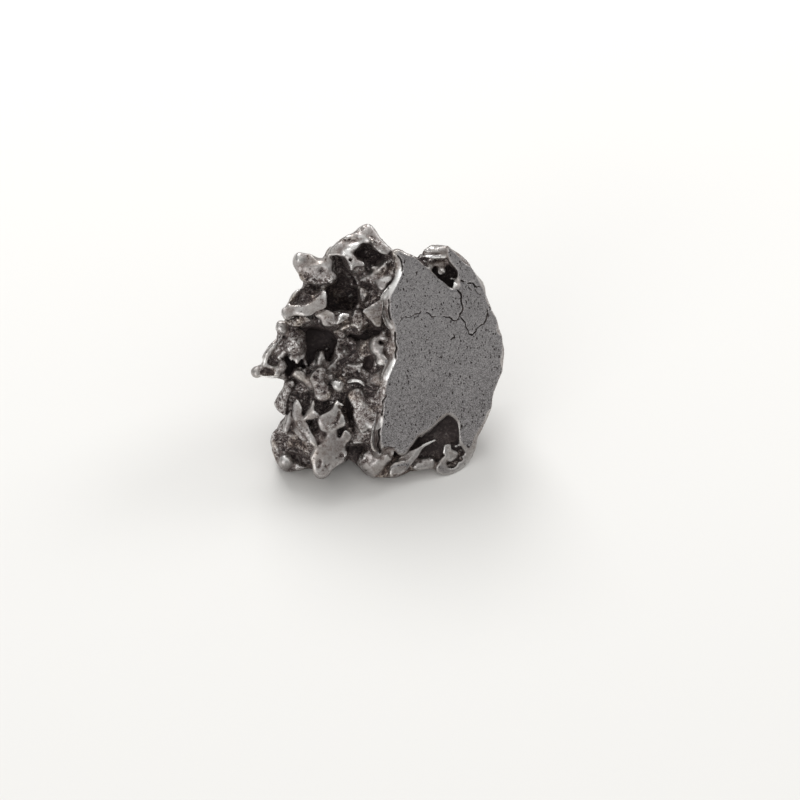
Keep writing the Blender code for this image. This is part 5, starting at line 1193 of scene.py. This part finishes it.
cut, u, v, w = block(GRID_LOW, GRID_HIGH)
saw = above_saw(u, v, w)
calm = np.clip(-saw - 0.15, 0, 1.2) / 1.2
rough = (1 - np.clip(polish_and_painted_light, 0, 1)) * (1 + 0.5 * np.clip(polish_and_painted_light, -1, 0)) * calm
field += rough * (0.14 * swell + 0.19 * creased + 0.06 * (np.abs(grit) - 0.8))
field += np.clip(polish_and_painted_light, 0, 1) * calm * (0.04 * swell + 0.045 * creased + 0.012 * grit)
uneven = 0.25 * np.abs(dents)
field[:] = soft_max(field, outline_distance(OUTLINE, flat_grid)[:, :, None] + uneven - 0.25, 0.3)
del swell, dents, grit, uneven
lap("grain")

right = np.clip(u - 11.6, 0, 1) * np.clip((v - 7) / 1.5, 0, 1)
right = np.maximum(right, np.clip((u - 9.8) / 0.6, 0, 1) * np.clip((v - 27.3) / 0.6, 0, 1))
beyond = outline_distance(FACE, flat_grid)[:, :, None] - 0.35 * right
bevel = np.interp(beyond, BEVEL_OUT, BEVEL_DEPTH).astype(np.float32)
under = np.clip((1.0 - v) / 0.4, 0, 1) * (u > 2.6) * (u < 8.2)
bevel = bevel + under * (BEVEL_DEPTH[-1] - bevel)
low = np.interp(beyond, LOW_BEVEL_OUT, LOW_BEVEL_DEPTH).astype(np.float32)
bevel = np.where((u > 8.2) & (v < 8), low, bevel)
bevel = np.where((u > 7.5) & (u < 10.2) & (v > 27.5), np.minimum(bevel, 0.12), bevel)
inner = outline_distance(WINDOW, flat_grid)[:, :, None]
grade = np.clip(0.5 - inner / 0.3, 0, 1) * np.clip(1.6 + saw, 0, 1)
polish_and_painted_light[:] = np.where(grade > 0, np.maximum(polish_and_painted_light, grade), polish_and_painted_light)
# Painted highlights where these lines take the polish above 1.05; below that they set the edge's wear.
for line, width, finish_and_painted_light in EDGE_WEAR_AND_HIGHLIGHTS:
    far = line_distance(line, flat_grid)
    polish_and_painted_light += (finish_and_painted_light - polish_and_painted_light) * np.exp(-(far / width) ** 2)[:, :, None] * np.clip(2.2 + saw, 0, 1)
field[:] = soft_max(field, saw + bevel, 0.3 - 0.22 * right)
field[:] = np.maximum(field, -place(u, v, w)[2])
lap("cuts")
field[[0, -1], :, :] = 1
field[:, [0, -1], :] = 1
field[:, :, [0, -1]] = 1

full = np.clip(0.5 - field / STEP, 0, 1)
edge_full = blurred(full, 3)
near_full = blurred(edge_full, 7)
lap("occupancy small")
wide_full = blurred(full[::3, ::3, ::3], 6)
lap("occupancy wide")

points, squares = surface(field)
lap("surface")
points, squares = largest_piece(points, squares)
lap("largest")
print("POINTS", len(points), "SQUARES", len(squares))

where = np.stack([AXES[k][0] + points[:, k] * STEP for k in range(3)], 1)
attributes = {
    "polish_and_painted_light": read_grid(polish_and_painted_light, where),
    "edge": read_grid(edge_full, where),
    "fill": read_grid(near_full, where),
}
at = [np.clip(points[:, k] / 3, 0, wide_full.shape[k] - 1.001).astype(int) for k in range(3)]
attributes["deep"] = wide_full[tuple(at)]
for name in attributes:
    print(name, np.percentile(attributes[name], (1, 10, 50, 90, 99)).round(3))


def new_mesh(name, points, squares, attributes):
    mesh = bpy.data.meshes.new(name)
    mesh.vertices.add(len(points))
    mesh.vertices.foreach_set("co", points.astype(np.float32).ravel())
    mesh.loops.add(squares.size)
    mesh.loops.foreach_set("vertex_index", squares.astype(np.int32).ravel())
    mesh.polygons.add(len(squares))
    mesh.polygons.foreach_set("loop_start", np.arange(0, squares.size, 4, dtype=np.int32))
    mesh.update(calc_edges=True)
    for key, values in attributes.items():
        held = mesh.attributes.new(key, "FLOAT", "POINT")
        held.data.foreach_set("value", values.astype(np.float32))
    return mesh


def positions(mesh):
    co = np.empty(3 * len(mesh.vertices), np.float32)
    mesh.vertices.foreach_get("co", co)
    return co.reshape(-1, 3)


def seen_positions(mesh):
    return np.stack(seen(*(positions(mesh) / MM - CENTRING).T), 1)


def thinned(mesh, keep, triangles):
    """The mesh with fewer faces: Decimate, which leaves the points to keep alone."""
    obj = bpy.data.objects.new("thinning", mesh)
    bpy.context.scene.collection.objects.link(obj)
    free = obj.vertex_groups.new(name="free")
    free.add(np.flatnonzero(~keep).tolist(), 1.0, "REPLACE")
    modifier = obj.modifiers.new("thin", "DECIMATE")
    modifier.ratio = triangles / (2 * len(mesh.polygons))
    modifier.vertex_group = "free"
    modifier.vertex_group_factor = 10
    view = bpy.context.evaluated_depsgraph_get()
    thin = bpy.data.meshes.new_from_object(obj.evaluated_get(view), preserve_all_data_layers=True, depsgraph=view)
    bpy.data.objects.remove(obj)
    bpy.data.meshes.remove(mesh)
    return thin


def near_saw(at):
    """Points of the sawn face, and of the worn strip by its left edge."""
    above = above_saw(*at.T)
    return (np.abs(above) < 0.02) | ((above > -0.9) & (at[:, 0] < 4) & (outline_distance(FACE, at[:, :2]) < 1.2))


def crack_depth(mesh):
    """Depth and darkness of the cracks at each point: a bell curve across each line, on the sawn face."""
    at = seen_positions(mesh).astype(np.float32)
    flat = near_saw(at)
    depth = np.zeros(len(at), np.float32)
    dark = np.zeros(len(at), np.float32)
    reach = np.full(len(at), 9.0, np.float32)
    spots = at[flat, :2]
    spots = spots + 0.09 * np.stack([read_grid(shake[k], spots) for k in range(2)], -1)
    d, m, r = depth[flat], dark[flat], reach[flat]
    for line, width, deep in CRACKS:
        far = line_distance(line, spots)
        bell = np.exp(-(far / width) ** 2)
        d = np.maximum(d, deep * bell)
        m = np.maximum(m, min(0.9, deep / 0.3) * bell)
        r = np.minimum(r, far - width)
    depth[flat], dark[flat], reach[flat] = d, m, r
    return depth, dark, reach


def cut_cracks(mesh):
    """Splits the squares along the cracks in three each way, then sinks their points."""
    _, _, reach = crack_depth(mesh)
    close = reach < 0.2
    ends = np.empty(2 * len(mesh.edges), np.int32)
    mesh.edges.foreach_get("vertices", ends)
    chosen = close[ends.reshape(-1, 2)].all(1)
    fine = bmesh.new()
    fine.from_mesh(mesh)
    fine.edges.ensure_lookup_table()
    split = [fine.edges[int(i)] for i in np.flatnonzero(chosen)]
    bmesh.ops.subdivide_edges(fine, edges=split, cuts=2, use_grid_fill=True)
    fine.to_mesh(mesh)
    fine.free()
    depth, dark, _ = crack_depth(mesh)
    co = positions(mesh) - saw_normal().astype(np.float32) * (depth * MM)[:, None]
    mesh.vertices.foreach_set("co", co.ravel())
    held = mesh.attributes.new("crack", "FLOAT", "POINT")
    held.data.foreach_set("value", dark)
    mesh.update()


world_points = (np.stack(place(*where.T), 1) + CENTRING) * MM
mesh = new_mesh("skin", world_points, squares, attributes)
on_face = near_saw(where.astype(np.float32))
print("ON FACE", on_face.sum())
mesh = thinned(mesh, on_face, TRIANGLES)
lap("thin")
at = seen_positions(mesh)
cut_cracks(mesh)
lap("cracks")
mesh.polygons.foreach_set("use_smooth", np.ones(len(mesh.polygons), bool))
sizes = np.empty(len(mesh.polygons), np.int32)
mesh.polygons.foreach_get("loop_total", sizes)
print("TRIANGLES", (sizes - 2).sum())
skin = bpy.data.objects.new("meteorite_skin", mesh)
bpy.context.scene.collection.objects.link(skin)


def node(tree, kind, inputs=None, **values):
    """A shader node with its settings, and its inputs: numbers and colours set, sockets linked."""
    made = tree.nodes.new(kind)
    for key, value in values.items():
        setattr(made, key, value)
    for key, value in (inputs or {}).items():
        if isinstance(value, bpy.types.NodeSocket):
            tree.links.new(value, made.inputs[key])
        else:
            made.inputs[key].default_value = value
    return made


def maths(tree, operation, *inputs):
    return node(tree, "ShaderNodeMath", dict(enumerate(inputs)), operation=operation).outputs[0]


def ramp(tree, fac, stops):
    made = node(tree, "ShaderNodeValToRGB", {"Fac": fac})
    points = made.color_ramp.elements
    while len(points) < len(stops):
        points.new(0.5)
    for point, (position, colour) in zip(points, stops):
        point.position = position
        point.color = (*colour, 1)
    return made.outputs["Color"]


def ranged(tree, value, low, high, to_low, to_high, kind="LINEAR"):
    made = node(tree, "ShaderNodeMapRange", {"Value": value, "From Min": low, "From Max": high,
                                             "To Min": to_low, "To Max": to_high}, interpolation_type=kind)
    return made.outputs["Result"]


def attribute(tree, name):
    return node(tree, "ShaderNodeAttribute", attribute_name=name).outputs["Fac"]


def clouds(tree, at, scale, detail=4, rough=0.6, distortion=0.0):
    return node(tree, "ShaderNodeTexNoise", {"Vector": at, "Scale": scale, "Detail": detail, "Roughness": rough,
                                             "Distortion": distortion}).outputs["Fac"]


def chips(tree, at, scale):
    """A chance value in each of many small cells."""
    cells = node(tree, "ShaderNodeTexVoronoi", {"Vector": at, "Scale": scale})
    return node(tree, "ShaderNodeSeparateColor", {"Color": cells.outputs["Color"]}).outputs["Red"]


def dots(tree, at, scale, size, share):
    """Spots in some of many small cells: size is a radius in cells, share how many of the cells hold one."""
    cells = node(tree, "ShaderNodeTexVoronoi", {"Vector": at, "Scale": scale})
    chance = node(tree, "ShaderNodeSeparateColor", {"Color": cells.outputs["Color"]}).outputs["Red"]
    near = maths(tree, "LESS_THAN", cells.outputs["Distance"], size)
    return maths(tree, "MULTIPLY", near, maths(tree, "LESS_THAN", chance, share))


def mixed(tree, fac, a, b, blend="MIX"):
    made = node(tree, "ShaderNodeMix", {"Factor": fac}, data_type="RGBA", blend_type=blend)
    for socket, value in ((made.inputs[6], a), (made.inputs[7], b)):
        if isinstance(value, bpy.types.NodeSocket):
            tree.links.new(value, socket)
        else:
            socket.default_value = (*value, 1)
    return made.outputs[2]


def iron_material():
    material = bpy.data.materials.new("iron")
    material.use_nodes = True
    tree = material.node_tree
    shader = tree.nodes["Principled BSDF"]
    link = tree.links.new
    at = node(tree, "ShaderNodeTexCoord").outputs["Object"]

    # Natural skin: how worn it is, from rough brown-black hollows to bright rims. Painted shade darkens its dips and
    # caves, and painted highlights whiten it where the attribute passes 1.05. Below nought it is darker, partly as
    # the hollows' crust and partly as painted shade.
    coarse = clouds(tree, at, 450, 4)
    fine = clouds(tree, at, 2600, 4, 0.8)
    flakes = chips(tree, at, 3000)
    specks = chips(tree, at, 6000)
    grade = attribute(tree, "polish_and_painted_light")
    coarseness = ranged(tree, grade, 0.3, 0.9, 1.0, 0.24)
    coarseness = maths(tree, "MULTIPLY", coarseness, ranged(tree, grade, -0.9, -0.1, 0.22, 1.0))
    wear_and_painted_light = maths(tree, "MULTIPLY_ADD", grade, 0.24, 0.26)
    rim = ranged(tree, attribute(tree, "edge"), 0.5, 0.3, 0.0, 1.0)
    crest = ranged(tree, attribute(tree, "fill"), 0.55, 0.3, 0.0, 1.0)
    # dip and cave darken concave places and deep hollows: painted shade.
    dip = ranged(tree, attribute(tree, "fill"), 0.5, 0.68, 0.0, 1.0)
    cave = ranged(tree, attribute(tree, "deep"), 0.6, 0.85, 0.0, 1.0)
    for mask, share in ((rim, 0.2), (crest, 0.1), (dip, -0.1), (cave, -0.13)):
        wear_and_painted_light = maths(tree, "MULTIPLY_ADD", mask, share, wear_and_painted_light)
    broken = 0.0
    for mask, share in ((fine, 1.6), (flakes, 0.45), (specks, 0.55)):
        broken = maths(tree, "MULTIPLY_ADD", maths(tree, "SUBTRACT", mask, 0.5), share, broken)
    broken = maths(tree, "MULTIPLY", broken, coarseness)
    wear_and_painted_light = maths(tree, "ADD", wear_and_painted_light, broken)
    wear_and_painted_light = maths(tree, "MULTIPLY_ADD", maths(tree, "SUBTRACT", coarse, 0.5), 0.5, wear_and_painted_light)
    skin_colour = ramp(tree, wear_and_painted_light, (
        (0.0, (0.022, 0.015, 0.015)), (0.15, (0.065, 0.046, 0.044)), (0.33, (0.165, 0.133, 0.123)),
        (0.52, (0.31, 0.285, 0.275)), (0.75, (0.48, 0.463, 0.452)), (1.0, (0.66, 0.645, 0.63))))
    # Painted highlight: near white where the attribute passes 1.05.
    painted_highlight = ranged(tree, grade, 1.05, 1.55, 0.0, 1.0)
    # Below nought the attribute darkens the colour: partly the dark crust of the hollows, partly painted shade.
    crust_and_painted_shade = ranged(tree, grade, -0.15, -0.8, 0.0, 0.86)
    rust = ranged(tree, clouds(tree, at, 300, 3), 0.5, 0.68, 0.0, 0.5)
    rust = maths(tree, "MULTIPLY", rust, ranged(tree, grade, 0.5, 0.95, 1.0, 0.3))
    skin_colour = mixed(tree, rust, skin_colour, (0.95, 0.80, 0.62), "MULTIPLY")
    holes = node(tree, "ShaderNodeTexVoronoi", {"Vector": at, "Scale": 1300.0})
    hole = maths(tree, "LESS_THAN", holes.outputs["Distance"], ranged(tree, clouds(tree, at, 500, 2), 0.45, 0.65,
                                                                     0.03, 0.2))
    skin_colour = mixed(tree, maths(tree, "MULTIPLY", hole, 0.7), skin_colour, (0.05, 0.04, 0.038))
    skin_colour = mixed(tree, painted_highlight, skin_colour, (0.93, 0.92, 0.905))
    skin_colour = mixed(tree, crust_and_painted_shade, skin_colour, (0.075, 0.057, 0.056))

    # Sawn face: exactly where the skin lies in the saw's plane.
    anchor = (np.array(place(*SAW_POINT)) + CENTRING) * MM
    height = node(tree, "ShaderNodeVectorMath", {0: at, 1: tuple(saw_normal())}, operation="DOT_PRODUCT")
    off = maths(tree, "SUBTRACT", height.outputs["Value"], float(anchor @ saw_normal()))
    off = maths(tree, "ABSOLUTE", off)
    sawn = ranged(tree, off, 0.00008, 0.00003, 0.0, 1.0)
    brushed = node(tree, "ShaderNodeMapping", {"Vector": at, "Rotation": (0.3, 0.2, 0.6),
                                               "Scale": (1.0, 1.0, 0.16)}).outputs["Vector"]
    streak = clouds(tree, brushed, 3200, 3, 0.6)
    mottle = clouds(tree, at, 7500, 3, 0.8)
    patch = clouds(tree, at, 160, 2)
    tone = 0.5
    # Painted light: lift makes the sawn face's colour lighter towards the top.
    lift = ranged(tree, node(tree, "ShaderNodeSeparateXYZ", {"Vector": at}).outputs["Z"], 0.006, 0.030, 0.51, 0.84)
    for mask, share in ((lift, 1.0), (mottle, 0.8), (streak, 0.35), (patch, 0.35), (chips(tree, at, 9500), 0.75)):
        tone = maths(tree, "MULTIPLY_ADD", maths(tree, "SUBTRACT", mask, 0.5), share, tone)
    face_colour = ramp(tree, tone, ((0.0, (0.10, 0.092, 0.095)), (0.5, (0.245, 0.235, 0.238)),
                                    (1.0, (0.43, 0.415, 0.42))))
    grains = node(tree, "ShaderNodeMapping", {"Vector": at, "Rotation": (0.0, 0.35, 0.0),
                                              "Scale": (1.0, 1.0, 0.45)}).outputs["Vector"]
    shift = node(tree, "ShaderNodeTexNoise", {"Vector": at, "Scale": 3500.0}).outputs["Color"]
    grains = node(tree, "ShaderNodeVectorMath", {0: shift, 1: (0.0003,) * 3, 2: grains},
                  operation="MULTIPLY_ADD").outputs["Vector"]
    low_right = node(tree, "ShaderNodeVectorMath", {0: at, 1: (60.0, 0.0, -35.0)}, operation="DOT_PRODUCT")
    many = ranged(tree, low_right.outputs["Value"], -1.2, 0.6, 0.08, 0.95)
    dash = dots(tree, grains, 1700.0, 0.18, many)
    dot = dots(tree, grains, 3400.0, 0.27, ranged(tree, clouds(tree, at, 500, 2), 0.4, 0.62, 0.2, 0.9))
    pitted = maths(tree, "MAXIMUM", maths(tree, "MULTIPLY", dash, 0.95), maths(tree, "MULTIPLY", dot, 0.9))
    face_colour = mixed(tree, pitted, face_colour, (0.04, 0.032, 0.032))
    iron_colour = mixed(tree, sawn, skin_colour, face_colour)
    iron_colour = mixed(tree, attribute(tree, "crack"), iron_colour, (0.03, 0.024, 0.024))

    link(iron_colour, shader.inputs["Base Color"])
    skin_metal = ranged(tree, wear_and_painted_light, 0.12, 0.5, 0.1, 1.0)
    skin_metal = maths(tree, "MULTIPLY", skin_metal, maths(tree, "SUBTRACT", 1.0, crust_and_painted_shade))
    metal = node(tree, "ShaderNodeMix", {"Factor": sawn, "A": skin_metal, "B": 1.0}, data_type="FLOAT").outputs[0]
    link(metal, shader.inputs["Metallic"])
    skin_rough = ranged(tree, wear_and_painted_light, 0.1, 0.85, 0.7, 0.24)
    face_rough = ranged(tree, tone, 0.2, 0.8, 0.46, 0.34)
    rough = node(tree, "ShaderNodeMix", {"Factor": sawn, "A": skin_rough, "B": face_rough}, data_type="FLOAT")
    link(rough.outputs[0], shader.inputs["Roughness"])
    skin_height = maths(tree, "MULTIPLY", maths(tree, "MULTIPLY_ADD", flakes, 0.35, fine), coarseness)
    face_height = maths(tree, "MULTIPLY_ADD", pitted, -2.0, maths(tree, "MULTIPLY", streak, 0.6))
    relief_height = node(tree, "ShaderNodeMix", {"Factor": sawn, "A": skin_height, "B": face_height},
                         data_type="FLOAT").outputs[0]
    bump = node(tree, "ShaderNodeBump", {"Strength": 0.8, "Distance": 0.0001, "Height": relief_height})
    link(bump.outputs["Normal"], shader.inputs["Normal"])
    return material


mesh.materials.append(iron_material())
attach(skin, "root")
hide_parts("meteorite")

floor_mesh = bpy.data.meshes.new("floor")
floor_mesh.from_pydata([(-3, -3, 0), (3, -3, 0), (3, 3, 0), (-3, 3, 0)], [], [(0, 1, 2, 3)])
floor = bpy.data.objects.new("floor", floor_mesh)
bpy.context.scene.collection.objects.link(floor)
white = bpy.data.materials.new("floor")
white.use_nodes = True
white.node_tree.nodes["Principled BSDF"].inputs["Base Color"].default_value = (0.762, 0.755, 0.739, 1)
white.node_tree.nodes["Principled BSDF"].inputs["Roughness"].default_value = 0.85
floor_mesh.materials.append(white)


def studio():
    """A room lit from above: the sky's brightness rises with the height looked at."""
    world = bpy.data.worlds.new("studio")
    world.use_nodes = True
    tree = world.node_tree
    way = node(tree, "ShaderNodeTexCoord").outputs["Generated"]
    height = node(tree, "ShaderNodeSeparateXYZ", {"Vector": way}).outputs["Z"]
    light = ramp(tree, height, ((0.0, (0.34, 0.34, 0.34)), (0.3, (0.46, 0.46, 0.455)), (0.6, (0.8, 0.8, 0.79)),
                                (1.0, (1.1, 1.09, 1.07))))
    tree.links.new(light, tree.nodes["Background"].inputs["Color"])
    tree.nodes["Background"].inputs["Strength"].default_value = 0.8
    bpy.context.scene.world = world


studio()
bpy.context.scene.view_settings.view_transform = "Standard"


def softbox(name, at, size, power):
    lamp = bpy.data.lights.new(name, "AREA")
    lamp.shape = "SQUARE"
    lamp.size = size
    lamp.energy = power
    held = bpy.data.objects.new(name, lamp)
    held.location = at
    held.rotation_mode = "QUATERNION"
    held.rotation_quaternion = (Vector((0, 0, 0.015)) - Vector(at)).to_track_quat("-Z", "Y")
    bpy.context.scene.collection.objects.link(held)


softbox("key", (-0.12, 0.42, 0.5), 0.35, 2.6)
softbox("left", (-0.42, -0.6, 0.12), 0.5, 1.9)
softbox("right", (0.5, 0.3, 0.45), 0.25, 1.2)

camera = bpy.data.objects.new("camera", bpy.data.cameras.new("camera"))
camera.data.lens = 2575 / 800 * 36
camera.data.sensor_width = 36
camera.data.clip_start = 0.01
eye = np.array(place(EYE_ACROSS, EYE_UP, EYE_DISTANCE)) + CENTRING
camera.matrix_world = Matrix.Translation(Vector(eye) * MM) @ Matrix.Rotation(math.pi / 2 - EYE_RISE, 4, "X")
bpy.context.scene.collection.objects.link(camera)
bpy.context.scene.camera = camera
